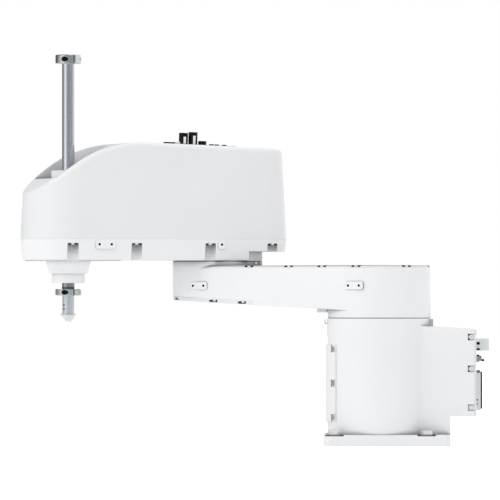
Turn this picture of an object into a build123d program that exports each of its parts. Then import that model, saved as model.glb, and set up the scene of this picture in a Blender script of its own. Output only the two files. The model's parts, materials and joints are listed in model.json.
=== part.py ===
from build123d import *
import math
import os

os.makedirs("parts", exist_ok=True)

# Four-axis SCARA robot. Millimetres, +X to the front, +Z up.
# The origin lies on axis 1, in the face that is bolted to the pedestal.
# Each arm is drawn along its own +X and then turned to its rest angle.
# A setback is measured back from the joint or shaft at the far end of an arm.

# Reach and rest pose
inner_arm_length = 300.0
outer_arm_length = 250.0
axis_1_rest_angle = -32.0
axis_2_rest_angle = 52.0

# Travel of the tool shaft from its rest height, and the gap left at each end
travel_down = 168.0
travel_up = 9.0
stop_gap = 0.5

# Clearances
turning_gap = 1.0
running_clearance = 0.3
fit_clearance = 0.05

# Room beyond a face for a shape that cuts right through it
over_cut = 1.0

# Small screws
screw_radius = 2.0
screw_head_radius = 3.4
screw_head_height = 2.4
screw_length = 9.0
screw_grip = 4.0
screw_socket_flats = 3.0
screw_socket_depth = 1.3

# Base plate and its bolts
plate_thickness = 18.0
plate_corner = 10.0
plate_front_margin = 15.5
plate_rear_margin = 37.5
plate_side_margin = 16.0
bolt_radius = 5.0
bolt_thread_radius = 4.8
bolt_hole_clearance = 0.5
bolt_head_flats = 16.0
bolt_head_height = 6.4
bolt_head_chamfer = 1.0
bolt_reach_below = 14.0
bolt_seat_radius = 14.2
bolt_seat_depth = 2.0
washer_radius = 13.2
washer_thickness = 2.3
washer_to_column = 4.2
bolt_angle = 44.0

# Column
column_radius = 82.0
column_height = 181.0
column_wall = 9.0
column_floor = 9.0

# Front cover of the column, and the window behind it
front_cover_thickness = 2.6
front_cover_half_angle = 34.0
front_cover_low = 38.0
front_cover_high = 158.0
front_cover_ledge = 1.0
front_screw_angle = 29.5
front_screw_inset = 6.2
front_notch_half_width = 6.0
front_notch_half_height = 5.3
window_half_width = 28.0
window_margin = 14.0

# Connector box behind the column
box_reach = 147.6
box_half_width = 52.0
box_bottom = 46.0
box_front_drop = 12.7
box_rear_drop = 16.6
box_wall = 8.0
web_reach = 110.0
box_blend_radius = 12.0
panel_thickness = 2.5
panel_inset = 1.2
ear_width = 10.0
ear_length = 11.0
ear_thickness = 2.0
ear_pocket_depth = 3.5
ear_screw_setback = 6.0
ear_relief_radius = 1.4
ear_relief_depth = 3.0
ear_bottom_rise = 14.0
ear_middle_rise = 74.5
ear_top_drop = 12.4

# Connectors on the rear panel
motor_connector_rise = 9.0
motor_connector_drop = 64.4
motor_connector_half_width = 17.0
motor_connector_depth = 7.6
gasket_depth = 2.6
gasket_inset = 2.5
signal_connector_drop = 14.4
signal_connector_height = 20.0
signal_connector_half_width = 15.0
signal_connector_depth = 7.3
signal_cap_depth = 14.0
signal_cap_inset = 1.0
air_fitting_drop = 45.9
air_fitting_radius = 6.0
air_fitting_nose_radius = 4.3
air_fitting_depth = 9.6
air_fitting_body_depth = 5.8
air_fitting_spacing = 18.0
connector_chamfer = 1.0

# Rubber stop behind the top of the column
rear_stop_half_width = 30.0
rear_stop_depth = 15.0
rear_stop_overhang = 1.2

# Servo motors, all of one family
motor_flange = 7.0
motor_corner = 5.0
stator_step = 8.0
encoder_step = 14.0
encoder_length = 22.0
motor_shaft_end = 3.0

# Reducer and motor of axis 1
reducer_1_radius = 66.0
reducer_1_height = 38.0
reducer_1_tooth_radius = 46.0
output_1_radius = 52.0
output_1_thickness = 13.0
ledge_1_thickness = 10.0
motor_1_side = 80.0
motor_1_length = 90.0
motor_1_pilot_radius = 35.0
motor_1_shaft_radius = 8.0
flexspline_wall = 2.0
wave_generator_thickness = 10.0
wave_generator_lift = 4.0
wave_generator_squash = 0.9

# Inner arm
inner_arm_height = 82.0
inner_arm_draft = 1.2
inner_arm_rounding = 6.0
shoulder_radius = 80.5
elbow_radius = 71.0
elbow_rise = 6.5
elbow_flange_thickness = 14.0
underside_rise = 15.2
underside_slope = 2.7
inner_arm_wall = 7.0
inner_arm_floor = 10.0
shoulder_bore_radius = 23.0
elbow_bore_radius = 23.0
access_hole_radius = 48.0
inner_cover_thickness = 4.5
inner_cover_ledge = 1.6
shoulder_screw_stations = (-3.0, 60.0, 122.0)
elbow_screw_setback = 103.0
inner_cover_end_angle = 154.0
bottom_cover_thickness = 6.0
bottom_cover_setback = 112.0
bottom_screw_setbacks = (92.0, 37.5)
bottom_cover_end_angle = 56.0
screw_notch_width = 16.0
screw_notch_depth = 7.4
screw_notch_corner = 4.4
stop_block_radius = 89.0
stop_block_length = 18.0
stop_block_width = 26.0
stop_block_height = 7.5
stop_block_chamfer = 1.5

# Pads with tapped holes for cable and hose brackets
pad_length = 33.0
pad_height = 12.6
pad_corner = 3.2
pad_rise = 1.5
pad_root = 1.0
pad_hole_radius = 2.0
pad_hole_depth = 6.0
pad_hole_spacing = 20.0
inner_pad_rise = 50.2
shoulder_pad_station = -1.0
elbow_pad_setback = 9.0
outer_pad_height = 15.0
outer_pad_drop = 8.6
outer_pad_setback = 36.8
small_pad_length = 12.0
small_pad_station = 19.5

# Reducer and motor of axis 2
reducer_2_radius = 58.0
reducer_2_height = 32.0
reducer_2_tooth_radius = 41.0
output_2_radius = 46.0
output_2_thickness = 13.0
motor_2_side = 70.0
motor_2_length = 100.0
motor_2_shaft_radius = 7.0

# Outer arm casting
outer_half_width = 75.4
outer_rear_reach = 101.0
outer_rear_corner = 40.0
outer_casting_height = 33.2
outer_casting_draft = 6.9
outer_boss_drop = 1.0
outer_wall = 6.0
outer_floor = 9.0
overhang_start = 27.0
overhang_rise = 14.1
overhang_floor = 6.0
outer_pocket_width = 18.0
outer_pocket_wall = 4.0
outer_pocket_roof = 6.7
outer_screw_inset = 4.3
rear_pocket_stations = (-66.0, 38.0)
front_pocket_setbacks = (89.0, -15.5)
bottom_plate_thickness = 1.5
bottom_plate_setback = 64.0
bottom_plate_inset = 3.0

# Cover of the outer arm
cover_draft = 3.0
cover_wall = 3.0
cover_boss_height = 14.0
cover_screw_grip = 6.0
crown_height = 152.3
crown_setback = 102.0
crown_slope = 2.1
hood_radius = 195.0
hood_slope = 36.0
crest_rounding = 8.0
recess_radius = 57.0
recess_floor = 95.3
recess_draft = 6.0
floor_opening_radius = 21.5

# Nose, spline nut and tool shaft
shaft_radius = 10.0
shaft_recess = 0.3
shaft_groove_radius = 1.2
shaft_groove_count = 3
nose_top_radius = 36.0
nose_bottom_radius = 30.0
nose_cone_height = 21.1
nose_barrel_radius = 32.0
nose_barrel_rise = 6.0
nose_seat_thickness = 2.0
nose_ring_radius = 26.1
nose_ring_height = 12.6
nose_neck_radius = 23.5
nose_neck_height = 2.4
spline_nut_radius = 18.0
spline_flange_radius = 24.0
spline_flange_thickness = 3.0
bearing_radius = 27.0
spline_pulley_radius = 34.0
pulley_height = 12.0

# Screw nut above it, its bearing and guard
screw_nut_radius = 19.0
screw_nut_tail = 6.0
screw_bearing_radius = 27.0
screw_pulley_radius = 30.0
screw_pulley_lift = 4.0
guard_radius = 27.0
guard_wall = 5.0
guard_height = 12.8
guard_roof = 3.0

# Belt drives and the frame that carries them
belt_thickness = 1.6
belt_width = 9.0
axis_3_motor_setback = 100.0
axis_3_motor_v = 31.0
axis_4_motor_setback = 110.0
axis_4_motor_v = -34.0
drive_motor_side = 52.0
drive_motor_length = 74.0
drive_motor_shaft_radius = 5.0
shaft_hole_radius = 10.0
axis_3_motor_pulley_radius = 18.0
axis_4_motor_pulley_radius = 14.0
drive_plate_drop = 32.0
drive_plate_thickness = 8.0
drive_plate_reach = 15.0
drive_tongue_margin = 5.0
drive_tongue_step = 2.0
drive_leg_side = 10.0
drive_leg_v = 57.0
drive_leg_setback = 6.0
rear_leg_setback = 66.0
rear_leg_places_v = (41.0, -52.0)
motor_bracket_thickness = 6.0
motor_bracket_wall = 3.0
motor_bracket_gap = 3.0

# Collars and tool end of the shaft
collar_radius = 20.4
collar_chamfer = 1.0
lower_collar_height = 10.2
upper_collar_height = 14.0
collar_slit = 1.6
collar_angle = 117.0
collar_screw_offset = 14.5
collar_screw_radius = 2.0
collar_screw_seat = 6.5
collar_head_radius = 3.9
collar_head_height = 2.5
tool_end_radius = 7.0
sleeve_radius = 9.5
sleeve_length = 28.7
rim_radius = 12.2
rim_height = 1.6
cone_top_radius = 11.2
cone_low_radius = 6.3
cone_height = 8.2
dimple_radius = 1.6
dimple_depth = 1.2
dimple_angle = 44.0
dimple_rises = (7.9, 13.9)
plug_radius = 4.7
plug_height = 3.2

# Connector panel on top of the cover
top_panel_rear = -22.0
top_panel_front = 94.0
top_panel_half_width = 34.0
top_panel_thickness = 1.5
top_panel_corner = 8.0
signal_socket_radius = 7.2
signal_socket_bore = 4.7
signal_socket_depth = 7.4
signal_socket_stations = (42.0, 58.0)
signal_socket_heights = (20.4, 18.6)
button_radius = 6.6
button_height = 7.0
button_station = 26.0
button_travel = 3.0
button_well_depth = 3.6
hose_fitting_radius = 3.8
hose_fitting_height = 2.8
hose_fitting_stations = (-11.0, 1.5, 10.5)
top_socket_station = 69.6
top_socket_length = 8.0
top_socket_width = 14.0
top_socket_height = 4.2
socket_plate_station = 81.7
socket_plate_length = 15.0
socket_plate_height = 2.0

# Levels and places that follow from the sizes above
bolt_circle_radius = column_radius + washer_radius + washer_to_column
bolt_x = bolt_circle_radius * math.cos(math.radians(bolt_angle))
bolt_y = bolt_circle_radius * math.sin(math.radians(bolt_angle))
plate_front = bolt_x + plate_front_margin
plate_rear = bolt_x + plate_rear_margin
plate_half_width = bolt_y + plate_side_margin
washer_low = plate_thickness - bolt_seat_depth
base_top = plate_thickness + column_height
box_top_front = base_top - box_front_drop
box_top_rear = base_top - box_rear_drop
rear_stop_low = box_top_front + fit_clearance
ledge_1_bottom = base_top - reducer_1_height - ledge_1_thickness
inner_bottom = base_top + turning_gap
inner_top = inner_bottom + inner_arm_height
elbow_top = inner_top + elbow_rise
outer_boss_bottom = elbow_top + turning_gap
outer_bottom = outer_boss_bottom + outer_boss_drop
outer_floor_top = outer_bottom + outer_floor
reducer_2_top = outer_floor_top + reducer_2_height
split_level = outer_bottom + outer_casting_height
recess_level = split_level + recess_floor
crown_level = split_level + crown_height
guard_top = recess_level + guard_height
nose_low = outer_bottom - nose_cone_height
ring_low = nose_low - nose_neck_height - nose_ring_height
barrel_top = outer_floor_top + nose_barrel_rise
spline_flange_low = barrel_top + running_clearance
axis_4_belt_level = spline_flange_low + spline_flange_thickness
motor_bracket_level = axis_4_belt_level + pulley_height + motor_bracket_gap
drive_plate_bottom = recess_level - cover_wall - drive_plate_drop
drive_plate_top = drive_plate_bottom + drive_plate_thickness
axis_3_belt_level = drive_plate_top + screw_pulley_lift
screw_nut_top = guard_top - guard_roof - turning_gap
upper_collar_low = guard_top + stop_gap + travel_down
lower_collar_low = ring_low - stop_gap - travel_up - lower_collar_height
shaft_top = upper_collar_low + upper_collar_height - shaft_recess
sleeve_low = lower_collar_low - sleeve_length
rim_low = sleeve_low - rim_height
cone_low = rim_low - cone_height
crown_station = outer_arm_length - crown_setback
axis_3_motor_u = outer_arm_length - axis_3_motor_setback
axis_4_motor_u = outer_arm_length - axis_4_motor_setback
rear_leg_u = outer_arm_length - rear_leg_setback
outer_pocket_stations = rear_pocket_stations + tuple(outer_arm_length - s for s in front_pocket_setbacks)
outer_arm_angle = axis_1_rest_angle + axis_2_rest_angle
elbow_x = inner_arm_length * math.cos(math.radians(axis_1_rest_angle))
elbow_y = inner_arm_length * math.sin(math.radians(axis_1_rest_angle))


def disc(radius, low, high, x=0.0, y=0.0):
    return Pos(x, y, low) * extrude(Circle(radius), high - low)


def tube(outer, inner, low, high, x=0.0, y=0.0):
    return Pos(x, y, low) * extrude(Circle(outer) - Circle(inner), high - low)


def block(x0, x1, y0, y1, low, high):
    plan = Rectangle(abs(x1 - x0), abs(y1 - y0))
    return Pos((x0 + x1) / 2, (y0 + y1) / 2, low) * extrude(plan, high - low)


def side_extrusion(points, half_width):
    """A closed outline of (x, z) points, carried to both sides of the XZ plane."""
    return extrude(Plane.XZ * make_face(Polyline(*points, close=True)), half_width, both=True)


def hexagon(flats, low, high):
    return Pos(0, 0, low) * extrude(RegularPolygon(flats / 2, 6, major_radius=False), high - low)


def screw(length=screw_length):
    """A socket screw that points down, with the underside of its head at the origin."""
    body = disc(screw_head_radius, 0, screw_head_height) + disc(screw_radius, -length, 0)
    return body - hexagon(screw_socket_flats, screw_head_height - screw_socket_depth, screw_head_height)


def group(shapes):
    return Compound([solid for shape in shapes for solid in shape.solids()])


def servo_motor(side, length, shaft_radius, shaft_length):
    """A square servo motor with its mounting face at the origin and its shaft up."""
    stator_length = length - motor_flange - encoder_length
    flange = extrude(RectangleRounded(side, side, motor_corner), -motor_flange)
    stator_section = Rectangle(side - stator_step, side - stator_step)
    stator = Pos(0, 0, -motor_flange) * extrude(stator_section, -stator_length)
    encoder_section = Rectangle(side - encoder_step, side - encoder_step)
    encoder = Pos(0, 0, encoder_length - length) * extrude(encoder_section, -encoder_length)
    return flange + stator + encoder + disc(shaft_radius, 0, shaft_length)


def belt_loop(x0, y0, radius_0, x1, y1, radius_1, pulley_low):
    """A belt around two pulleys, clear of both and midway up them."""
    def loop(extra):
        first = Pos(x0, y0) * Circle(radius_0 + running_clearance + extra)
        second = Pos(x1, y1) * Circle(radius_1 + running_clearance + extra)
        return make_hull(first.edges() + second.edges())

    low = pulley_low + (pulley_height - belt_width) / 2
    return Pos(0, 0, low) * extrude(loop(belt_thickness) - loop(0), belt_width)


def toothed_pulley(radius, bore, low, x=0.0, y=0.0):
    return tube(radius, bore, low, low + pulley_height, x, y)


# Base


def bolt_places():
    return [(x, y) for x in (-bolt_x, bolt_x) for y in (-bolt_y, bolt_y)]


def bolt_seat(x, y):
    """A round seat for a washer, open to the near side of the plate."""
    edge = math.copysign(plate_half_width + over_cut, y)
    seat = disc(bolt_seat_radius, washer_low, plate_thickness, x, y)
    return seat + block(x - bolt_seat_radius, x + bolt_seat_radius, y, edge, washer_low, plate_thickness)


def box_top_at(x):
    share = (-x - column_radius) / (box_reach - column_radius)
    return box_top_front + share * (box_top_rear - box_top_front)


def ear_places():
    rows = (box_bottom + ear_bottom_rise, box_bottom + ear_middle_rise, box_top_rear - ear_top_drop)
    return [(side, z) for side in (-1, 1) for z in rows]


def ear_space(side, z, height, clearance):
    """Room for one ear of the rear panel, from its seat in the box side outwards."""
    seat = side * (box_half_width - ear_pocket_depth)
    half = ear_width / 2 - clearance
    front = -box_reach + ear_length - clearance
    return block(-box_reach, front, seat, seat + side * height, z - half, z + half)


def ear_screw_place(side, z):
    """The middle of an ear's seat, with the local +Z pointing out of the box side."""
    seat = side * (box_half_width - ear_pocket_depth)
    return Pos(-box_reach + ear_screw_setback, seat, z) * Rotation(-90 * side, 0, 0)


def ear_reliefs(side, z):
    """Drilled reliefs in the two inner corners of an ear's pocket."""
    inner = ear_length - ear_screw_setback - ear_relief_radius
    across = ear_width / 2 - ear_relief_radius
    drill = disc(ear_relief_radius, -ear_relief_depth, ear_pocket_depth + over_cut)
    return [ear_screw_place(side, z) * Pos(inner, v, 0) * drill for v in (-across, across)]


def rear_stop_space(clearance):
    front = -column_radius - rear_stop_overhang + rear_stop_depth + clearance
    rear = -column_radius - rear_stop_overhang
    half_width = rear_stop_half_width + clearance
    return block(rear, front, -half_width, half_width, rear_stop_low, base_top + over_cut)


def box_form():
    """The connector box and the web under it, blended into the column on both sides."""
    outline = side_extrusion([
        (0, plate_thickness), (-web_reach, plate_thickness), (-web_reach, box_bottom),
        (-box_reach, box_bottom), (-box_reach, box_top_rear), (0, box_top_at(0)),
    ], column_radius)
    plan = Circle(column_radius) + Pos(-box_reach / 2, 0) * Rectangle(box_reach, 2 * box_half_width)
    joins = [point for point in plan.vertices() if -box_reach < point.X - over_cut]
    plan = fillet(joins, box_blend_radius)
    return outline & extrude(plan, base_top)


def base_casting():
    plate_length = plate_front + plate_rear
    plate = Pos((plate_front - plate_rear) / 2, 0) * extrude(
        RectangleRounded(plate_length, 2 * plate_half_width, plate_corner), plate_thickness)
    body = plate + disc(column_radius, plate_thickness, base_top) + box_form()
    body -= disc(column_radius - column_wall, column_floor, ledge_1_bottom)
    body -= disc(motor_1_pilot_radius, ledge_1_bottom, base_top)
    body -= disc(reducer_1_radius + fit_clearance, base_top - reducer_1_height, base_top)
    inner_half_width = box_half_width - box_wall
    body -= block(-box_reach, -column_radius + column_wall, -inner_half_width, inner_half_width,
                  box_bottom + box_wall, ledge_1_bottom)
    body -= block(-box_reach, -column_radius - box_wall, -inner_half_width, inner_half_width,
                  box_bottom + box_wall, box_top_rear - box_wall)
    body -= block(column_radius / 2, column_radius + over_cut, -window_half_width, window_half_width,
                  front_cover_low + window_margin, front_cover_high - window_margin)
    body -= rear_stop_space(fit_clearance)
    for x, y in bolt_places():
        body -= disc(bolt_radius + bolt_hole_clearance, 0, plate_thickness, x, y)
        body -= bolt_seat(x, y)
    hole_depth = screw_grip + turning_gap
    for side, z in ear_places():
        body -= ear_space(side, z, box_half_width, 0)
        body -= ear_screw_place(side, z) * disc(screw_radius, -hole_depth, over_cut)
        for relief in ear_reliefs(side, z):
            body -= relief
    for side, row, z in front_screw_places():
        hole = disc(screw_radius, column_radius - hole_depth, column_radius + over_cut)
        body -= front_screw_place(side, z) * hole
    return body


def rear_stop():
    room = block(-box_reach, 0, -box_half_width, box_half_width, 0, base_top - turning_gap)
    return rear_stop_space(0) & room


def base_bolts():
    head_low = washer_low + washer_thickness
    head = hexagon(bolt_head_flats, head_low, head_low + bolt_head_height)
    corner = bolt_head_flats / (2 * math.cos(math.radians(30)))
    blank = extrude(Circle(corner), bolt_head_height)
    crown = Pos(0, 0, head_low) * chamfer(blank.faces().sort_by(Axis.Z)[-1].edges(), bolt_head_chamfer)
    bolt = (head & crown) + disc(bolt_radius, 0, head_low) + disc(bolt_thread_radius, -bolt_reach_below, 0)
    return group(Pos(x, y) * bolt for x, y in bolt_places())


def base_washers():
    bore = bolt_radius + bolt_hole_clearance
    return group(tube(washer_radius, bore, washer_low, washer_low + washer_thickness, x, y)
                 for x, y in bolt_places())


def front_screw_places():
    low = front_cover_low + front_screw_inset
    high = front_cover_high - front_screw_inset
    rows = ((-1, low), (0, (low + high) / 2), (1, high))
    return [(side, row, z) for side in (-1, 1) for row, z in rows]


def front_screw_place(side, z):
    return radial_place(side * front_screw_angle, z)


def front_notch(side, row):
    """Room for a screw head, open to the upright edge of the cover and, in a corner, to its end too."""
    reach = 2 * front_notch_half_height + screw_length
    x = [-front_notch_half_height, front_notch_half_height]
    if row < 0:
        x[1] = reach
    if row > 0:
        x[0] = -reach
    seat = column_radius + fit_clearance + front_cover_ledge
    outside = front_cover_face() + over_cut
    return block(x[0], x[1], -side * front_notch_half_width, side * reach, seat, outside)


def radial_place(angle, level):
    """A place on the Z axis whose local +Z points outwards at an angle from +X."""
    return Pos(0, 0, level) * Rotation(0, 0, angle) * Rotation(0, 90, 0)


def front_cover_face():
    return column_radius + fit_clearance + front_cover_thickness


def base_front_cover():
    height = front_cover_high - front_cover_low
    shell = tube(front_cover_face(), column_radius + fit_clearance, front_cover_low, front_cover_high)
    reach = 2 * column_radius
    edge = reach * math.tan(math.radians(front_cover_half_angle))
    wedge = make_face(Polyline((0, 0), (reach, -edge), (reach, edge), close=True))
    cover = shell & Pos(0, 0, front_cover_low) * extrude(wedge, height)
    for side, row, z in front_screw_places():
        hole = disc(screw_radius + fit_clearance, column_radius - over_cut, front_cover_face())
        cover -= front_screw_place(side, z) * (hole + front_notch(side, row))
    return cover


def base_front_cover_screws():
    ledge = fit_clearance + front_cover_ledge
    seated = Pos(0, 0, column_radius + ledge) * screw(ledge + screw_grip)
    return group(front_screw_place(side, z) * seated for side, row, z in front_screw_places())


def rear_panel():
    half_width = box_half_width - panel_inset
    panel = block(-box_reach - panel_thickness, -box_reach, -half_width, half_width,
                  box_bottom + panel_inset, box_top_rear - panel_inset)
    hole = disc(screw_radius + fit_clearance, -over_cut, ear_thickness + over_cut)
    for side, z in ear_places():
        panel += ear_space(side, z, ear_thickness, fit_clearance)
        panel -= ear_screw_place(side, z) * hole
    return panel


def rear_panel_screws():
    seated = Pos(0, 0, ear_thickness) * screw(ear_thickness + screw_grip)
    return group(ear_screw_place(side, z) * seated for side, z in ear_places())


def panel_block(half_width, low, high, near, far):
    face = -box_reach - panel_thickness
    return block(face - far, face - near, -half_width, half_width, low, high)


def motor_connector_span():
    return box_bottom + motor_connector_rise, box_top_rear - motor_connector_drop


def motor_connector():
    low, high = motor_connector_span()
    shell = panel_block(motor_connector_half_width, low, high, 0, motor_connector_depth)
    return chamfer(shell.faces().sort_by(Axis.X)[0].edges(), connector_chamfer)


def motor_connector_gasket():
    low, high = motor_connector_span()
    return panel_block(motor_connector_half_width - gasket_inset, low + gasket_inset, high - gasket_inset,
                       motor_connector_depth, motor_connector_depth + gasket_depth)


def signal_connector_span():
    high = box_top_rear - signal_connector_drop
    return high - signal_connector_height, high


def signal_connector():
    low, high = signal_connector_span()
    return panel_block(signal_connector_half_width, low, high, 0, signal_connector_depth)


def signal_connector_cap():
    low, high = signal_connector_span()
    near = signal_connector_depth
    half_width = signal_connector_half_width - signal_cap_inset
    cap = panel_block(half_width, low, high, near, near + signal_cap_depth)
    return chamfer(cap.faces().sort_by(Axis.X)[0].edges(), connector_chamfer)


def rear_air_fittings():
    face = -box_reach - panel_thickness
    level = box_top_rear - air_fitting_drop
    fitting = disc(air_fitting_radius, 0, air_fitting_body_depth)
    fitting += disc(air_fitting_nose_radius, air_fitting_body_depth, air_fitting_depth)
    return group(Pos(face, side * air_fitting_spacing / 2, level) * Rotation(0, -90, 0) * fitting
                 for side in (-1, 1))


# Reducer of axis 1, under the inner arm


def axis_1_circular_spline():
    low = base_top - reducer_1_height
    ring = tube(reducer_1_radius, reducer_1_tooth_radius, low, base_top)
    seat = inner_bottom - output_1_thickness - 2 * turning_gap
    return ring - disc(output_1_radius + running_clearance, seat, base_top)


def axis_1_flexspline():
    seat = inner_bottom - output_1_thickness
    cup_radius = reducer_1_tooth_radius - running_clearance
    cup = tube(cup_radius, cup_radius - flexspline_wall, base_top - reducer_1_height + turning_gap, seat)
    return disc(output_1_radius, seat, inner_bottom) + cup


def wave_generator(cup_radius, low, bore):
    """The slightly oval plug that presses the thin cup into the teeth around it."""
    major = cup_radius - running_clearance
    plug = Ellipse(major, major - wave_generator_squash) - Circle(bore + running_clearance)
    return Pos(0, 0, low) * extrude(plug, wave_generator_thickness)


def wave_shaft_length():
    return wave_generator_lift + wave_generator_thickness + motor_shaft_end


def axis_1_wave_generator():
    cup_radius = reducer_1_tooth_radius - running_clearance - flexspline_wall
    low = base_top - reducer_1_height + wave_generator_lift
    return wave_generator(cup_radius, low, motor_1_shaft_radius)


def axis_1_motor():
    shaft_length = ledge_1_thickness + wave_shaft_length()
    motor = servo_motor(motor_1_side, motor_1_length, motor_1_shaft_radius, shaft_length)
    return Pos(0, 0, ledge_1_bottom) * motor


# Inner arm


def inner_arm_outline(inset=0.0):
    shoulder = Circle(shoulder_radius - inset)
    elbow = Pos(inner_arm_length, 0) * Circle(elbow_radius - inset)
    return make_face(make_hull(shoulder.edges() + elbow.edges()).edges())


def underside_level(x):
    return inner_bottom + underside_rise + (x - column_radius) * math.tan(math.radians(underside_slope))


def under_the_slope(lift=0.0):
    """Everything below the sloping underside, lifted by a wall."""
    start = -2 * shoulder_radius
    far = inner_arm_length + 2 * elbow_radius
    return side_extrusion([
        (start, 0), (far, 0), (far, underside_level(far) + lift), (start, underside_level(start) + lift),
    ], 2 * shoulder_radius)


def inner_arm_form():
    """The whole arm with its covers: drafted sides, a round upper edge and a boss over the column."""
    tapered = extrude(Pos(0, 0, inner_bottom) * inner_arm_outline(), inner_arm_height, taper=inner_arm_draft)
    tapered = fillet(tapered.faces().sort_by(Axis.Z)[-1].edges(), inner_arm_rounding)
    boss = disc(shoulder_radius, 0, inner_bottom + 2 * underside_rise)
    return tapered - (under_the_slope() - boss)


def elbow_disc(low, clearance=0.0):
    return disc(elbow_radius + clearance, low, elbow_top, inner_arm_length)


def top_slab():
    """Everything above the seam between the inner arm and its top cover."""
    reach = 2 * shoulder_radius
    seam = inner_top - inner_cover_thickness
    return block(-reach, inner_arm_length + reach, -reach, reach, seam, elbow_top)


def wall_place(station, side, inset, level):
    """A point on the straight side wall of the inner arm, a given inset behind its outline."""
    lean = math.asin((shoulder_radius - elbow_radius) / inner_arm_length)
    y = (shoulder_radius - inset - station * math.sin(lean)) / math.cos(lean)
    return Pos(station, side * y, level) * Rotation(0, 0, -side * math.degrees(lean))


def top_screw_places(level):
    inset = screw_notch_depth / 2 + (level - inner_bottom) * math.tan(math.radians(inner_arm_draft))
    stations = shoulder_screw_stations + (inner_arm_length - elbow_screw_setback,)
    places = [wall_place(u, side, inset, level) for u in stations for side in (-1, 1)]
    for side in (-1, 1):
        places.append(Rotation(0, 0, side * inner_cover_end_angle) * Pos(shoulder_radius - inset, 0, level)
                      * Rotation(0, 0, 90))
    return places


def screw_notch(height):
    """A notch with round inner corners, open through the side wall."""
    return extrude(RectangleRounded(screw_notch_width, 2 * screw_notch_depth, screw_notch_corner), height)


def inner_cover_seat():
    return inner_top - inner_cover_thickness + inner_cover_ledge


def inner_arm_top_cover():
    cover = (inner_arm_form() & top_slab()) - elbow_disc(inner_bottom, running_clearance)
    for place in top_screw_places(inner_cover_seat()):
        cover -= place * screw_notch(inner_cover_thickness)
        cover -= place * disc(screw_radius + fit_clearance, -inner_cover_thickness, 0)
    return cover


def inner_arm_top_cover_screws():
    return group(place * screw() for place in top_screw_places(inner_cover_seat()))


def bottom_cover_space():
    """The slab under the elbow that the bottom cover fills."""
    start = inner_arm_length - bottom_cover_setback
    far = inner_arm_length + 2 * elbow_radius
    return side_extrusion([
        (start, inner_bottom), (far, inner_bottom), (far, underside_level(far) + bottom_cover_thickness),
        (start, underside_level(start) + bottom_cover_thickness),
    ], 2 * shoulder_radius)


def bottom_screw_places():
    def seat(u):
        return underside_level(u) + bottom_cover_thickness - inner_cover_ledge

    inset = screw_notch_depth / 2 + inner_cover_ledge
    reach = elbow_radius - inset
    angle = math.radians(bottom_cover_end_angle)
    u_end = inner_arm_length + reach * math.cos(angle)
    places = []
    for side in (-1, 1):
        for setback in bottom_screw_setbacks:
            u = inner_arm_length - setback
            places.append(wall_place(u, side, inset, seat(u)))
        turn = side * (bottom_cover_end_angle - 90)
        places.append(Pos(u_end, side * reach * math.sin(angle), seat(u_end)) * Rotation(0, 0, turn))
    return [place * Rotation(180, 0, 0) for place in places]


def inner_arm_bottom_cover():
    cover = inner_arm_form() & bottom_cover_space()
    for place in bottom_screw_places():
        cover -= place * screw_notch(2 * bottom_cover_thickness)
        cover -= place * disc(screw_radius + fit_clearance, -bottom_cover_thickness, 0)
    return cover


def inner_arm_bottom_cover_screws():
    return group(place * screw() for place in bottom_screw_places())


def pad(length, height):
    """A raised pad in its own plane, standing out along +Z."""
    return Pos(0, 0, -pad_root) * extrude(RectangleRounded(length, height, pad_corner), pad_rise + pad_root)


def pad_hole(offset):
    return disc(pad_hole_radius, pad_rise - pad_hole_depth, pad_rise, offset)


def pad_hole_pair():
    return [pad_hole(side * pad_hole_spacing / 2) for side in (-1, 1)]


def inner_pad_places():
    inset = inner_pad_rise * math.tan(math.radians(inner_arm_draft))
    stations = (shoulder_pad_station, inner_arm_length - elbow_pad_setback)
    return [wall_place(u, side, inset, inner_bottom + inner_pad_rise) * Rotation(-90 * side, 0, 0)
            for u in stations for side in (-1, 1)]


def inner_arm_casting():
    body = inner_arm_form() - top_slab() - bottom_cover_space()
    body += elbow_disc(inner_bottom) - under_the_slope(bottom_cover_thickness)
    flange_low = elbow_top - elbow_flange_thickness
    hollow = Pos(0, 0, inner_bottom) * extrude(inner_arm_outline(inner_arm_wall), inner_arm_height,
                                               taper=inner_arm_draft)
    body -= hollow - elbow_disc(flange_low) - under_the_slope(bottom_cover_thickness + inner_arm_floor)
    body -= disc(access_hole_radius, inner_bottom, flange_low, inner_arm_length)
    body -= disc(shoulder_bore_radius, inner_bottom, flange_low)
    body -= disc(elbow_bore_radius, flange_low, elbow_top, inner_arm_length)
    for place in inner_pad_places():
        body += place * pad(pad_length, pad_height)
        for hole in pad_hole_pair():
            body -= place * hole
    for place in top_screw_places(inner_cover_seat()) + bottom_screw_places():
        body -= place * disc(screw_radius, -screw_length, 0)
    return body


def axis_1_stop_block():
    far = stop_block_radius + stop_block_length
    raw = block(stop_block_radius, far, -stop_block_width / 2, stop_block_width / 2,
                underside_level(stop_block_radius) - stop_block_height, inner_top)
    stop = raw & under_the_slope()
    return chamfer(stop.faces().sort_by(Axis.Z)[0].edges(), stop_block_chamfer)


# Reducer of axis 2, between the arms. Its cup is bolted to the inner arm.


def axis_2_flexspline():
    cup_radius = reducer_2_tooth_radius - running_clearance
    seat = elbow_top + output_2_thickness
    rim = reducer_2_top - wave_generator_lift + turning_gap
    cup = tube(cup_radius, cup_radius - flexspline_wall, seat, rim)
    return disc(output_2_radius, elbow_top, seat) + cup


def axis_2_circular_spline():
    ring = tube(reducer_2_radius, reducer_2_tooth_radius, outer_floor_top, reducer_2_top)
    seat = elbow_top + output_2_thickness + turning_gap
    return ring - disc(output_2_radius + running_clearance, outer_floor_top, seat)


def axis_2_wave_generator():
    cup_radius = reducer_2_tooth_radius - running_clearance - flexspline_wall
    low = reducer_2_top - wave_generator_lift - wave_generator_thickness
    return wave_generator(cup_radius, low, motor_2_shaft_radius)


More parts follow.
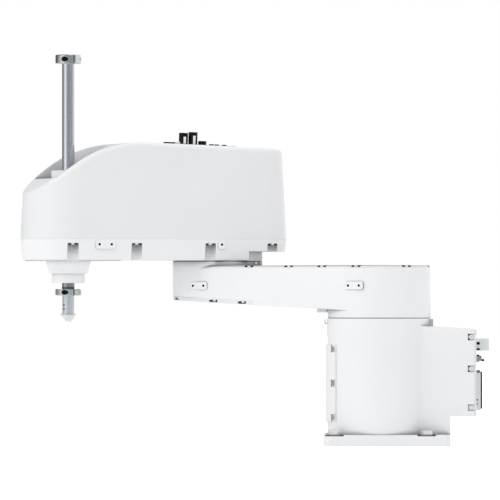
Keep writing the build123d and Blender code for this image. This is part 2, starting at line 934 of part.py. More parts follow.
def axis_2_motor():
    motor = servo_motor(motor_2_side, motor_2_length, motor_2_shaft_radius, wave_shaft_length())
    return Pos(0, 0, reducer_2_top) * Rotation(180, 0, 0) * motor


# Outer arm


def outer_outline(half_width):
    """Straight sides, a round nose about the tool shaft and a rear end with wide corners."""
    inset = outer_half_width - half_width
    rear = outer_rear_reach - inset
    length = outer_arm_length + rear
    body = Pos(outer_arm_length - length / 2, 0) * Rectangle(length, 2 * half_width)
    body = fillet(body.vertices().group_by(Axis.X)[0], outer_rear_corner - inset)
    return body + Pos(outer_arm_length, 0) * Circle(half_width)


def outer_pocket_places():
    return [(u, side) for u in outer_pocket_stations for side in (-1, 1)]


def outer_screw_place(u, side):
    """The roof of a screw pocket, set in from the side, the round nose or a rear corner."""
    roof = split_level - outer_pocket_roof
    reach = outer_half_width - outer_screw_inset
    if u > outer_arm_length:
        return Pos(u, side * math.sqrt(reach ** 2 - (u - outer_arm_length) ** 2), roof)
    corner_u = outer_rear_corner - outer_rear_reach
    if u < corner_u:
        corner_v = outer_half_width - outer_rear_corner
        return Pos(u, side * (corner_v + math.sqrt((reach - corner_v) ** 2 - (corner_u - u) ** 2)), roof)
    return Pos(u, side * reach, roof)


def outer_pad_places(station):
    return [Pos(station, side * (outer_half_width - pad_rise), split_level - outer_pad_drop)
            * Rotation(-90 * side, 0, 0) for side in (-1, 1)]


def under_the_rear(floor):
    """Everything under the raised rear overhang, apart from the boss over the elbow."""
    reach = 2 * outer_rear_reach
    slab = block(-reach, -overhang_start, -reach, reach, inner_bottom, outer_bottom + overhang_rise + floor)
    return slab - disc(elbow_radius - floor, inner_bottom, split_level)


def outer_arm_casting():
    drop = outer_casting_height
    top = Pos(0, 0, split_level)
    form = top * extrude(outer_outline(outer_half_width), -drop, taper=outer_casting_draft)
    body = form - under_the_rear(0) + disc(elbow_radius, outer_boss_bottom, outer_floor_top)
    hollow = top * extrude(outer_outline(outer_half_width - outer_wall), outer_floor_top - split_level,
                           taper=outer_casting_draft)
    hollow -= under_the_rear(overhang_floor)
    for u, side in outer_pocket_places():
        hollow -= outer_screw_place(u, side) * disc(outer_pocket_width / 2 + outer_pocket_wall, -drop, drop)
    body -= hollow
    body -= disc(output_2_radius + running_clearance, outer_boss_bottom, outer_floor_top)
    body -= disc(nose_barrel_radius + fit_clearance, outer_bottom, outer_floor_top, outer_arm_length)
    for u, side in outer_pocket_places():
        place = outer_screw_place(u, side)
        body -= place * disc(outer_pocket_width / 2, -drop, 0)
        body -= place * disc(screw_radius + fit_clearance, 0, outer_pocket_roof)
    for place in outer_pad_places(outer_arm_length - outer_pad_setback):
        body += place * pad(pad_length, outer_pad_height)
        for hole in pad_hole_pair():
            body -= place * hole
    for place in outer_pad_places(small_pad_station):
        body += place * pad(small_pad_length, outer_pad_height)
        body -= place * pad_hole(0)
    return body


def outer_arm_bottom_plate():
    drafted = outer_half_width - outer_casting_height * math.tan(math.radians(outer_casting_draft))
    outline = outer_outline(drafted - bottom_plate_inset)
    start = outer_arm_length - bottom_plate_setback
    plate = Pos(0, 0, outer_bottom - bottom_plate_thickness) * extrude(outline, bottom_plate_thickness)
    rear = -2 * outer_rear_reach
    plate -= block(rear, start, -outer_half_width, outer_half_width, inner_bottom, outer_bottom)
    plate -= disc(nose_top_radius + fit_clearance, inner_bottom, outer_bottom, outer_arm_length)
    for u, side in outer_pocket_places():
        plate -= outer_screw_place(u, side) * disc(outer_pocket_width / 2, -outer_bottom, 0)
    return plate


def cover_profile(drop=0.0):
    """Side view of the cover: a rising top, one wide bend and the sloping hood at the front."""
    rise = math.radians(crown_slope)
    fall = math.radians(hood_slope)
    radius = hood_radius - drop
    centre_z = crown_level - hood_radius
    start = (crown_station - radius * math.sin(rise), centre_z + radius * math.cos(rise))
    crown = (crown_station, centre_z + radius)
    end = (crown_station + radius * math.sin(fall), centre_z + radius * math.cos(fall))
    rear = -2 * outer_rear_reach
    front = outer_arm_length + 2 * outer_half_width
    top = Line((rear, start[1] - (start[0] - rear) * math.tan(rise)), start)
    bend = ThreePointArc(start, crown, end)
    hood = Line(end, (front, end[1] - (front - end[0]) * math.tan(fall)))
    around = Polyline(hood @ 1, (front, 0), (rear, 0), top @ 0)
    return extrude(Plane.XZ * make_face([top, bend, hood] + around.edges()), 2 * outer_half_width, both=True)


def cover_form(wall=0.0):
    """The hooded form with its crest rounded, or the room inside it when a wall is taken off."""
    plan = outer_outline(outer_half_width - wall)
    walls = extrude(Pos(0, 0, split_level) * plan, crown_height + turning_gap, taper=cover_draft)
    form = walls & cover_profile(wall)
    crest = [edge for edge in form.edges() if edge.bounding_box().max.Z > recess_level
             and edge.bounding_box().min.Z > split_level + over_cut]
    return fillet(crest, crest_rounding - wall)


def recess_form(wall=0.0):
    """The recess around the tool shaft, open through the front of the hood."""
    radius = recess_radius + wall
    floor = recess_level - wall
    plan = Pos(outer_arm_length, 0) * Circle(radius)
    plan += Pos(outer_arm_length + outer_half_width, 0) * Rectangle(2 * outer_half_width, 2 * radius)
    return extrude(Pos(0, 0, floor) * plan, crown_height, taper=-recess_draft)


def outer_arm_cover():
    body = cover_form() - recess_form()
    inside = cover_form(cover_wall) - recess_form(cover_wall)
    for u, side in outer_pocket_places():
        boss = disc(outer_pocket_width / 2, 0, outer_pocket_roof + cover_boss_height)
        inside -= outer_screw_place(u, side) * boss
    body -= inside
    body -= disc(floor_opening_radius, split_level, crown_level, outer_arm_length)
    body -= on_panel(button_station) * button_well()
    for u, side in outer_pocket_places():
        body -= outer_screw_place(u, side) * disc(screw_radius, 0, outer_pocket_roof + cover_screw_grip)
    return body


def outer_arm_cover_screws():
    fastener = Rotation(180, 0, 0) * screw(outer_pocket_roof + cover_screw_grip)
    return group(outer_screw_place(u, side) * fastener for u, side in outer_pocket_places())


# Nose, spline nut and screw nut


def at_shaft(shape):
    return Pos(outer_arm_length, 0) * shape


def bored(shape, low, high):
    """The piece with the running bore for the tool shaft."""
    return at_shaft(shape - disc(shaft_radius + fit_clearance, low, high))


def nose_housing():
    cone = Pos(0, 0, nose_low) * Cone(nose_bottom_radius, nose_top_radius, nose_cone_height,
                                      align=(Align.CENTER, Align.CENTER, Align.MIN))
    barrel = disc(nose_barrel_radius, outer_bottom, barrel_top)
    return at_shaft(cone + barrel - disc(bearing_radius, nose_low, barrel_top))


def nose_ring():
    bore = spline_nut_radius + running_clearance
    ring = tube(nose_ring_radius, bore, ring_low, ring_low + nose_ring_height)
    neck = tube(nose_neck_radius, bore, ring_low + nose_ring_height, nose_low)
    seat = tube(bearing_radius - fit_clearance, bore, nose_low, nose_low + nose_seat_thickness)
    return at_shaft(ring + neck + seat)


def spline_nut_bearing():
    return at_shaft(tube(bearing_radius - fit_clearance, spline_nut_radius + running_clearance,
                         nose_low + nose_seat_thickness, barrel_top))


def spline_nut():
    low = ring_low + turning_gap
    high = axis_4_belt_level + pulley_height + turning_gap
    nut = disc(spline_nut_radius, low, high)
    return bored(nut + disc(spline_flange_radius, spline_flange_low, axis_4_belt_level), low, high)


def spline_pulley():
    bore = spline_nut_radius + fit_clearance
    return at_shaft(toothed_pulley(spline_pulley_radius, bore, axis_4_belt_level))


def screw_nut():
    low = drive_plate_bottom - screw_nut_tail
    nut = disc(screw_nut_radius, low, screw_nut_top)
    flange = disc(spline_flange_radius, drive_plate_top + running_clearance, axis_3_belt_level)
    return bored(nut + flange, low, screw_nut_top)


def screw_pulley():
    bore = screw_nut_radius + fit_clearance
    return at_shaft(toothed_pulley(screw_pulley_radius, bore, axis_3_belt_level))


def screw_nut_bearing():
    return at_shaft(tube(screw_bearing_radius - fit_clearance, screw_nut_radius + running_clearance,
                         drive_plate_bottom, drive_plate_top))


def nut_guard():
    shell = disc(guard_radius, recess_level, guard_top)
    shell -= disc(guard_radius - guard_wall, recess_level, guard_top - guard_roof)
    return at_shaft(shell - disc(shaft_radius + turning_gap, recess_level, guard_top))


# Drives inside the outer arm


def drive_leg_places():
    front = outer_arm_length - drive_leg_setback
    return [(front, drive_leg_v), (front, -drive_leg_v)] + [(rear_leg_u, v) for v in rear_leg_places_v]


def drive_frame():
    half = drive_leg_side / 2
    rear = rear_leg_u - half
    edge = drive_leg_v + half
    tongue_reach = drive_motor_side / 2 + drive_tongue_margin
    front = outer_arm_length + drive_plate_reach
    plate = block(rear, front, -edge, edge, drive_plate_bottom, drive_plate_top)
    tongue_rear = axis_3_motor_u - tongue_reach
    tongue_side = axis_3_motor_v - tongue_reach + drive_tongue_step
    plate += block(tongue_rear, rear, tongue_side, edge, drive_plate_bottom, drive_plate_top)
    plate -= disc(screw_bearing_radius, drive_plate_bottom, drive_plate_top, outer_arm_length)
    plate -= disc(shaft_hole_radius, drive_plate_bottom, drive_plate_top, axis_3_motor_u, axis_3_motor_v)
    for u, v in drive_leg_places():
        plate += block(u - half, u + half, v - half, v + half, outer_floor_top, drive_plate_bottom)
    return plate


def axis_3_motor():
    shaft_length = axis_3_belt_level + pulley_height - drive_plate_bottom
    motor = servo_motor(drive_motor_side, drive_motor_length, drive_motor_shaft_radius, shaft_length)
    return Pos(axis_3_motor_u, axis_3_motor_v, drive_plate_bottom) * motor


def axis_3_motor_pulley():
    return toothed_pulley(axis_3_motor_pulley_radius, drive_motor_shaft_radius + running_clearance,
                          axis_3_belt_level, axis_3_motor_u, axis_3_motor_v)


def axis_3_belt():
    return belt_loop(outer_arm_length, 0, screw_pulley_radius, axis_3_motor_u, axis_3_motor_v,
                     axis_3_motor_pulley_radius, axis_3_belt_level)


def axis_4_motor_bracket():
    half = drive_motor_side / 2
    low = motor_bracket_level
    high = low + motor_bracket_thickness
    rear = axis_4_motor_u - half
    side = axis_4_motor_v - half
    plate = block(rear, axis_4_motor_u + half, side, axis_4_motor_v + half, low, high)
    plate -= disc(shaft_hole_radius, low, high, axis_4_motor_u, axis_4_motor_v)
    plate += block(rear, axis_4_motor_u, side, side + motor_bracket_wall, outer_floor_top, low)
    plate += block(rear, rear + motor_bracket_wall, side, axis_4_motor_v + half, outer_floor_top, low)
    return plate


def axis_4_motor():
    face = motor_bracket_level + motor_bracket_thickness
    shaft_length = face - axis_4_belt_level
    motor = servo_motor(drive_motor_side, drive_motor_length, drive_motor_shaft_radius, shaft_length)
    return Pos(axis_4_motor_u, axis_4_motor_v, face) * Rotation(180, 0, 0) * motor


def axis_4_motor_pulley():
    return toothed_pulley(axis_4_motor_pulley_radius, drive_motor_shaft_radius + running_clearance,
                          axis_4_belt_level, axis_4_motor_u, axis_4_motor_v)


def axis_4_belt():
    return belt_loop(outer_arm_length, 0, spline_pulley_radius, axis_4_motor_u, axis_4_motor_v,
                     axis_4_motor_pulley_radius, axis_4_belt_level)


# Tool shaft, collars and tool end


def tool_shaft():
    shaft = disc(shaft_radius, lower_collar_low, shaft_top) + disc(tool_end_radius, rim_low, lower_collar_low)
    groove = Pos(shaft_radius, 0, 0) * disc(shaft_groove_radius, lower_collar_low, shaft_top)
    for count in range(shaft_groove_count):
        shaft -= Rotation(0, 0, collar_angle + 360 * count / shaft_groove_count) * groove
    return at_shaft(shaft)


def collar_turn():
    """A collar's +X points to its slit, which faces the same way at rest whatever the arms do."""
    return Rotation(0, 0, collar_angle - outer_arm_angle)


def collar_screw_place(height):
    return Pos(collar_screw_offset, 0, height / 2) * Rotation(90, 0, 0)


def clamp_collar(low, height):
    ring = tube(collar_radius, shaft_radius + fit_clearance, 0, height)
    ring = chamfer(ring.edges().filter_by(GeomType.CIRCLE).group_by(SortBy.LENGTH)[-1], collar_chamfer)
    ring -= block(0, collar_radius + over_cut, -collar_slit / 2, collar_slit / 2, 0, height)
    across = collar_screw_place(height)
    ring -= across * disc(collar_screw_radius, -collar_radius, collar_radius)
    ring -= across * disc(collar_head_radius, collar_screw_seat, collar_radius)
    return at_shaft(Pos(0, 0, low) * collar_turn() * ring)


def upper_collar():
    return clamp_collar(upper_collar_low, upper_collar_height)


def lower_collar():
    return clamp_collar(lower_collar_low, lower_collar_height)


def collar_screw(low, height):
    pin = disc(collar_screw_radius - fit_clearance, -collar_screw_seat, collar_screw_seat)
    head = disc(collar_head_radius - fit_clearance, collar_screw_seat, collar_screw_seat + collar_head_height)
    return at_shaft(Pos(0, 0, low) * collar_turn() * collar_screw_place(height) * (pin + head))


def collar_screws():
    return group([collar_screw(upper_collar_low, upper_collar_height),
                  collar_screw(lower_collar_low, lower_collar_height)])


def tool_sleeve():
    bore = tool_end_radius + fit_clearance
    sleeve = tube(sleeve_radius, bore, sleeve_low, lower_collar_low)
    sleeve += tube(rim_radius, bore, rim_low, sleeve_low)
    for rise in dimple_rises:
        drill = disc(dimple_radius, sleeve_radius - dimple_depth, sleeve_radius + over_cut)
        sleeve -= radial_place(dimple_angle - outer_arm_angle, sleeve_low + rise) * drill
    return at_shaft(sleeve)


def tool_end_cone():
    cone = Cone(cone_low_radius, cone_top_radius, cone_height, align=(Align.CENTER, Align.CENTER, Align.MIN))
    return at_shaft(Pos(0, 0, cone_low) * cone)


def end_plug():
    return at_shaft(disc(plug_radius, cone_low - plug_height, cone_low))


# Connector panel on the cover


def on_panel(u):
    """A place on top of the panel, which follows the rise of the cover, with the local +Z square to it."""
    rise = math.radians(crown_slope)
    start_u = crown_station - hood_radius * math.sin(rise)
    start_z = crown_level - hood_radius + hood_radius * math.cos(rise)
    crown = Pos(u, 0, start_z - (start_u - u) * math.tan(rise)) * Rotation(0, -crown_slope, 0)
    return crown * Pos(0, 0, top_panel_thickness)


def connector_panel():
    middle = (top_panel_front + top_panel_rear) / 2
    plan = RectangleRounded(top_panel_front - top_panel_rear, 2 * top_panel_half_width, top_panel_corner)
    panel = on_panel(middle) * extrude(plan, -top_panel_thickness)
    return panel - on_panel(button_station) * button_well()


def button_well():
    return disc(button_radius + running_clearance, -button_well_depth, over_cut)


def brake_release_button():
    low = button_travel + running_clearance - button_well_depth
    return on_panel(button_station) * disc(button_radius, low, button_height)


def top_signal_sockets():
    sockets = []
    for u, height in zip(signal_socket_stations, signal_socket_heights):
        body = disc(signal_socket_radius, 0, height)
        body -= disc(signal_socket_bore, height - signal_socket_depth, height)
        sockets.append(on_panel(u) * body)
    return group(sockets)


def top_hose_fittings():
    fitting = disc(hose_fitting_radius, 0, hose_fitting_height)
    return group(on_panel(u) * fitting for u in hose_fitting_stations)


def top_socket():
    half_width = top_socket_width / 2
    body = block(-top_socket_length / 2, top_socket_length / 2, -half_width, half_width, 0, top_socket_height)
    body = chamfer(body.faces().sort_by(Axis.Z)[-1].edges(), connector_chamfer)
    near = socket_plate_station - top_socket_station - socket_plate_length / 2
    plate = block(0, near + socket_plate_length, -half_width, half_width, 0, socket_plate_height)
    return on_panel(top_socket_station) * (body + plate)


on_base = Pos(0, 0, 0)
on_inner_arm = Rotation(0, 0, axis_1_rest_angle)
on_outer_arm = Pos(elbow_x, elbow_y, 0) * Rotation(0, 0, outer_arm_angle)

pieces = {
    "base_casting": (on_base, base_casting),
    "rear_stop": (on_base, rear_stop),
    "base_bolts": (on_base, base_bolts),
    "base_washers": (on_base, base_washers),
    "base_front_cover": (on_base, base_front_cover),
    "base_front_cover_screws": (on_base, base_front_cover_screws),
    "rear_panel": (on_base, rear_panel),
    "rear_panel_screws": (on_base, rear_panel_screws),
    "motor_connector": (on_base, motor_connector),
    "motor_connector_gasket": (on_base, motor_connector_gasket),
    "signal_connector": (on_base, signal_connector),
    "signal_connector_cap": (on_base, signal_connector_cap),
    "rear_air_fittings": (on_base, rear_air_fittings),
    "axis_1_circular_spline": (on_base, axis_1_circular_spline),
    "axis_1_wave_generator": (on_base, axis_1_wave_generator),
    "axis_1_motor": (on_base, axis_1_motor),
    "axis_1_flexspline": (on_inner_arm, axis_1_flexspline),
    "inner_arm_casting": (on_inner_arm, inner_arm_casting),
    "inner_arm_top_cover": (on_inner_arm, inner_arm_top_cover),
    "inner_arm_top_cover_screws": (on_inner_arm, inner_arm_top_cover_screws),
    "inner_arm_bottom_cover": (on_inner_arm, inner_arm_bottom_cover),
    "inner_arm_bottom_cover_screws": (on_inner_arm, inner_arm_bottom_cover_screws),
    "axis_1_stop_block": (on_inner_arm, axis_1_stop_block),
    "axis_2_flexspline": (on_outer_arm, axis_2_flexspline),
    "axis_2_circular_spline": (on_outer_arm, axis_2_circular_spline),
    "axis_2_wave_generator": (on_outer_arm, axis_2_wave_generator),
    "axis_2_motor": (on_outer_arm, axis_2_motor),
    "outer_arm_casting": (on_outer_arm, outer_arm_casting),
    "outer_arm_bottom_plate": (on_outer_arm, outer_arm_bottom_plate),
    "outer_arm_cover": (on_outer_arm, outer_arm_cover),
    "outer_arm_cover_screws": (on_outer_arm, outer_arm_cover_screws),
    "nose_housing": (on_outer_arm, nose_housing),
    "nose_ring": (on_outer_arm, nose_ring),
    "spline_nut_bearing": (on_outer_arm, spline_nut_bearing),
    "spline_nut": (on_outer_arm, spline_nut),
    "spline_pulley": (on_outer_arm, spline_pulley),
    "screw_nut": (on_outer_arm, screw_nut),
    "screw_pulley": (on_outer_arm, screw_pulley),
    "screw_nut_bearing": (on_outer_arm, screw_nut_bearing),
    "nut_guard": (on_outer_arm, nut_guard),
    "drive_frame": (on_outer_arm, drive_frame),
    "axis_3_motor": (on_outer_arm, axis_3_motor),
    "axis_3_motor_pulley": (on_outer_arm, axis_3_motor_pulley),
    "axis_3_belt": (on_outer_arm, axis_3_belt),
    "axis_4_motor_bracket": (on_outer_arm, axis_4_motor_bracket),
    "axis_4_motor": (on_outer_arm, axis_4_motor),
    "axis_4_motor_pulley": (on_outer_arm, axis_4_motor_pulley),
    "axis_4_belt": (on_outer_arm, axis_4_belt),
    "tool_shaft": (on_outer_arm, tool_shaft),
    "upper_collar": (on_outer_arm, upper_collar),
    "lower_collar": (on_outer_arm, lower_collar),
    "collar_screws": (on_outer_arm, collar_screws),
    "tool_sleeve": (on_outer_arm, tool_sleeve),
    "tool_end_cone": (on_outer_arm, tool_end_cone),
    "end_plug": (on_outer_arm, end_plug),
    "connector_panel": (on_outer_arm, connector_panel),
    "brake_release_button": (on_outer_arm, brake_release_button),
    "top_signal_sockets": (on_outer_arm, top_signal_sockets),
    "top_hose_fittings": (on_outer_arm, top_hose_fittings),
    "top_socket": (on_outer_arm, top_socket),
}

for name, (place, make) in pieces.items():
    export_step(place * make(), f"parts/{name}.step")
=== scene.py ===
import json
import math

import bmesh
import bpy
from mathutils import Matrix, Vector


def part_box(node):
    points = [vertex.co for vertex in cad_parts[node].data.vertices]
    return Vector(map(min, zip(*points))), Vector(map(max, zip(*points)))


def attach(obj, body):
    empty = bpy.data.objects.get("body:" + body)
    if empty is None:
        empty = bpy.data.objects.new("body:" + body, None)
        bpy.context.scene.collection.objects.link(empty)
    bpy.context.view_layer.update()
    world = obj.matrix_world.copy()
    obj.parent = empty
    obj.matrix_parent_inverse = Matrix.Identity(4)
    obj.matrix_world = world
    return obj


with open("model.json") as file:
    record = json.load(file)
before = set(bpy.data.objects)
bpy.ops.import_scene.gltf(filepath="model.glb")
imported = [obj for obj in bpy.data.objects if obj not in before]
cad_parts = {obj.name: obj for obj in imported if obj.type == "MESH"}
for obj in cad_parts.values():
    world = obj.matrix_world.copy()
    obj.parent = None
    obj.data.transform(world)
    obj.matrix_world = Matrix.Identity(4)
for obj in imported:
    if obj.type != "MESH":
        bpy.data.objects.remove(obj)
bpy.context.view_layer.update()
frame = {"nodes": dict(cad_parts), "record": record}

# The looks of a four-axis SCARA robot. Metres, +X to the front, +Z up, origin on axis 1 at the mounting face.

# Camera: far away and level with the inner arm, looking along -Y
camera_place = (0.2028, 10.0, 0.2276)
camera_lens = 459.8
camera_tilt = math.radians(0.449)
sensor_width = 36.0
far_clip = 100.0

# Directions, and the two sides of the robot
forward = (1.0, 0.0, 0.0)
backward = (-1.0, 0.0, 0.0)
upright = (0.0, 0.0, 1.0)
sides = ((1, "left"), (-1, "right"))

# Lengths of the arms between their axes, and where the arms point at rest
inner_length = 0.300
outer_length = 0.250
inner_turn = math.radians(-32.0)
outer_turn = math.radians(20.0)
on_inner_arm = Matrix.Rotation(inner_turn, 4, "Z")
elbow = Vector((inner_length * math.cos(inner_turn), inner_length * math.sin(inner_turn), 0.0))
on_outer_arm = Matrix.Translation(elbow) @ Matrix.Rotation(outer_turn, 4, "Z")
tool = on_outer_arm @ Vector((outer_length, 0.0, 0.0))

# Levels and faces of the solids that small pieces sit on, from the frame
column_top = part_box("base_casting")[1].z
casting_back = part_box("base_casting")[0].x
inner_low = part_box("inner_arm_casting")[0].z
elbow_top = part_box("inner_arm_casting")[1].z
inner_arm_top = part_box("inner_arm_top_cover")[1].z
outer_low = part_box("outer_arm_casting")[0].z
nose_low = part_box("nose_housing")[0].z
sleeve_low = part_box("tool_sleeve")[0].z
panel_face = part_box("rear_panel")[0].x
panel_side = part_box("rear_panel")[1].y
plug_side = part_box("motor_connector")[1].y
plug_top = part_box("motor_connector")[1].z
fitting_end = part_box("rear_air_fittings")[0].x

# Sizes of the castings that small pieces sit on
shoulder_radius = 0.0805
elbow_radius = 0.071
inner_draft = math.radians(1.2)
outer_half_width = 0.0754

# Pads with tapped holes on the sides of the arms
pad_rise = 0.0015
pad_hole_spacing = 0.020
inner_pad_level = inner_low + 0.0502
outer_pad_level = outer_low + 0.0256
shoulder_pad_station = -0.001
elbow_pad_station = inner_length - 0.009
outer_pad_station = outer_length - 0.0368
small_pad_station = 0.0195

# The sloping top of the hooded cover: a level on it, the station of that level, and the slope
crown_level = 0.47587
crown_station = 0.14085
crown_slope = math.radians(2.1)

# Heads of the cover screws
screw_head_radius = 0.0034
screw_head_height = 0.0024

# Soft lights of the studio, each with its direction and strength
sky_lights = {
    "left": ((1.0, 0.0, 0.0), 1.0),
    "right": ((-1.0, 0.0, 0.0), 0.87),
    "back": ((0.0, -1.0, 0.0), 1.0),
    "top": ((0.0, 0.0, 1.0), 0.80),
    "top_front": ((0.0, 0.7, 0.7), 0.59),
}

# Square lamps, each with its place, the length of its sides and its power
lamps = {
    "key": ((2.6, 2.4, 2.4), 2.0, 27.0),
    "side": ((-2.4, 2.8, 1.2), 2.0, 5.5),
    "top": ((0.2, -0.6, 3.0), 2.4, 7.5),
}
lamp_target = (0.2, 0.0, 0.25)

# The walls that shiny metal reflects: angle from the front of the studio to the left, and brightness
walls = (
    (-180.0, 0.90), (-72.0, 0.90), (-66.0, 0.45), (-61.0, 0.20), (-54.0, 0.20), (-46.0, 0.37),
    (-38.0, 0.37), (-30.0, 0.27), (8.0, 0.27), (26.0, 0.36), (40.0, 0.72), (50.0, 0.90),
    (66.0, 0.86), (84.0, 0.50), (98.0, 0.26), (125.0, 0.07), (180.0, 0.07),
)
gloss_strength = 1.35

# The floor: its half length, its colour with waves of a darker tone, and its glow for the camera alone
floor_reach = 30.0
floor_white = (0.9, 0.9, 0.9)
floor_waves = 40.0
floor_darker_tone = 0.99
floor_glow = 0.86

# Painted shade on the tool shaft above the lower collar: height and what is left of the brightness
shaft_shade_band = (
    (0.2440, 1.0), (0.2446, 0.16), (0.2476, 0.16), (0.2488, 0.46), (0.2505, 0.62), (0.2528, 0.48),
    (0.2545, 0.70), (0.2570, 1.0),
)

# Painted shade: a dark line along the upper edge of the inner arm
edge_shade_band = (
    (inner_arm_top - 0.0022, 1.0), (inner_arm_top - 0.0016, 0.50), (inner_arm_top - 0.0002, 0.50),
    (inner_arm_top, 1.0),
)

# Air fittings, grey below and black above
fitting_band = ((0.1400, 1.6), (0.1403, 0.02))

# Painted shade in creases, seams and pockets: how far the shade reaches, how open a place stays unshaded, and
# the darkest tone
paint_folds = ((0.018, 0.82, 0.30),)
arm_folds = ((0.018, 0.82, 0.30), (0.060, 0.66, 0.05))
base_folds = ((0.014, 0.80, 0.12), (0.060, 0.72, 0.15))
cover_folds = ((0.014, 0.80, 0.12), (0.075, 0.77, 0.10))
slit_folds = ((0.006, 0.7, 0.05),)
fully_hidden = 0.2
fold_samples = 12
edge_samples = 4

# Tone and gloss follow the middle part of a noise. The tone has so many waves to the metre and goes down to a
# darker one, and the gloss has the waves of the grain divided by a number.
noise_low = 0.3
noise_high = 0.7
tone_waves = 9.0
darker_tone = 0.97
grain_to_gloss = 12

# Colours
paint_white = (0.886, 0.887, 0.892)
cover_white = (0.824, 0.826, 0.837)
# A lighter copy of the white paint: painted light on the nose housing, which lies in the shade of the outer
# arm
lit_nose_white = (0.940, 0.942, 0.946)
steel = (0.60, 0.60, 0.61)
plated_steel = (0.92, 0.92, 0.93)
ground_steel = (0.54, 0.56, 0.57)
# Dark grey steel of the base washers: painted shade, the shadow line under the bolt heads
shaded_washer_steel = (0.22, 0.22, 0.225)
blackened_steel = (0.055, 0.055, 0.06)
chrome = (0.62, 0.65, 0.70)
aluminium = (0.66, 0.67, 0.69)
sleeve_blue = (0.60, 0.65, 0.69)
black = (0.004, 0.004, 0.0045)
hole_black = (0.004, 0.004, 0.004)
light_grey = (0.775, 0.805, 0.785)
shade_grey = (0.20, 0.20, 0.205)
stop_grey = (0.50, 0.51, 0.52)
# guard_grey and pale are one pale plastic in two shades: pale is the lighter copy, painted light on the pale
# parts in shade, such as the nose ring and the signal connector
guard_grey = (0.78, 0.79, 0.79)
pale = (0.90, 0.905, 0.91)


def link(tree, source, target):
    tree.links.new(source, target)


def add(tree, kind, **values):
    """A new node, with its settings and the values of its input sockets by name."""
    made = tree.nodes.new(kind)
    for name, value in values.items():
        if name in made.bl_rna.properties:
            setattr(made, name, value)
        else:
            made.inputs[name.replace("_", " ")].default_value = value
    return made


def reckoned(tree, operation, *values):
    """The result of a sum or the like, from outputs of other nodes and plain numbers."""
    made = add(tree, "ShaderNodeMath", operation=operation)
    for socket, value in zip(made.inputs, values):
        if isinstance(value, float):
            socket.default_value = value
        else:
            link(tree, value, socket)
    return made.outputs["Value"]


def noise(tree, place, scale, detail=2.0, stretch=(1.0, 1.0, 1.0)):
    """Noise of so many waves to the metre, stretched along the axes."""
    mapping = add(tree, "ShaderNodeMapping", Scale=stretch)
    link(tree, place, mapping.inputs["Vector"])
    made = add(tree, "ShaderNodeTexNoise", Scale=scale, Detail=detail)
    link(tree, mapping.outputs["Vector"], made.inputs["Vector"])
    return made.outputs["Fac"]


def spread(tree, source, low, high):
    """Maps the middle part of a noise to a range of values."""
    made = add(tree, "ShaderNodeMapRange", From_Min=noise_low, From_Max=noise_high, To_Min=low, To_Max=high)
    link(tree, source, made.inputs["Value"])
    return made.outputs["Result"]


def tinted(tree, source, colour, darker):
    """A colour that varies a little, between itself and a darker tone of it."""
    ramp = add(tree, "ShaderNodeValToRGB")
    first, last = ramp.color_ramp.elements
    first.position = noise_low
    last.position = noise_high
    first.color = [c * darker for c in colour] + [1.0]
    last.color = list(colour) + [1.0]
    link(tree, source, ramp.inputs["Fac"])
    return ramp.outputs["Color"]


def graded(tree, value, stops):
    """A grey ramp through pairs of position and brightness."""
    ramp = add(tree, "ShaderNodeValToRGB")
    for index, (position, level) in enumerate(stops):
        if index < 2:
            stop = ramp.color_ramp.elements[index]
            stop.position = position
        else:
            stop = ramp.color_ramp.elements.new(position)
        stop.color = (level, level, level, 1.0)
    link(tree, value, ramp.inputs["Fac"])
    return ramp.outputs["Color"]


def dimmed(tree, colour, share):
    """A colour times a share of its brightness."""
    made = add(tree, "ShaderNodeVectorMath", operation="SCALE")
    link(tree, colour, made.inputs[0])
    link(tree, share, made.inputs["Scale"])
    return made.outputs["Vector"]


def crease_shaded(tree, colour, folds, own_only):
    """The colour darkened by painted shade in creases, seams and pockets."""
    for reach, unshaded, darkest in folds:
        hidden = add(tree, "ShaderNodeAmbientOcclusion", samples=fold_samples, only_local=own_only,
                     Distance=reach)
        level = add(tree, "ShaderNodeMapRange", From_Min=fully_hidden, From_Max=unshaded, To_Min=darkest,
                    To_Max=1.0)
        link(tree, hidden.outputs["AO"], level.inputs["Value"])
        colour = dimmed(tree, colour, level.outputs["Result"])
    return colour


def banded(tree, colour, place, bands):
    """The colour with its brightness changed at given heights."""
    parts = add(tree, "ShaderNodeSeparateXYZ")
    link(tree, place, parts.inputs["Vector"])
    low, high = bands[0][0], bands[-1][0]
    height = add(tree, "ShaderNodeMapRange", From_Min=low, From_Max=high)
    link(tree, parts.outputs["Z"], height.inputs["Value"])
    stops = [((z - low) / (high - low), share) for z, share in bands]
    return dimmed(tree, colour, graded(tree, height.outputs["Result"], stops))


def finish(name, colour, rough, grain, depth, metal=0.0, edge=0.0, stretch=(1.0, 1.0, 1.0), shine=0.5,
           folds=(), own_only=False, bands=()):
    """A surface with slow changes of tone and gloss, a fine grain and softly worn edges.

    rough is the range of its roughness, grain the waves of the grain to the metre and depth their height.
    """
    material = bpy.data.materials.new(name)
    material.use_nodes = True
    tree = material.node_tree
    shader = tree.nodes["Principled BSDF"]
    place = add(tree, "ShaderNodeTexCoord").outputs["Object"]
    shader.inputs["Metallic"].default_value = metal
    shader.inputs["Specular IOR Level"].default_value = shine
    slow = noise(tree, place, tone_waves, detail=3.0)
    fine = noise(tree, place, grain, stretch=stretch)
    base = tinted(tree, slow, colour, darker_tone)
    if bands:
        base = banded(tree, base, place, bands)
    base = crease_shaded(tree, base, folds, own_only)
    link(tree, base, shader.inputs["Base Color"])
    gloss = noise(tree, place, grain / grain_to_gloss, stretch=stretch)
    link(tree, spread(tree, gloss, *rough), shader.inputs["Roughness"])
    bump = add(tree, "ShaderNodeBump", Distance=depth, Strength=1.0)
    link(tree, fine, bump.inputs["Height"])
    if edge:
        rounded = add(tree, "ShaderNodeBevel", samples=edge_samples, Radius=edge)
        link(tree, rounded.outputs["Normal"], bump.inputs["Normal"])
    link(tree, bump.outputs["Normal"], shader.inputs["Normal"])
    return material


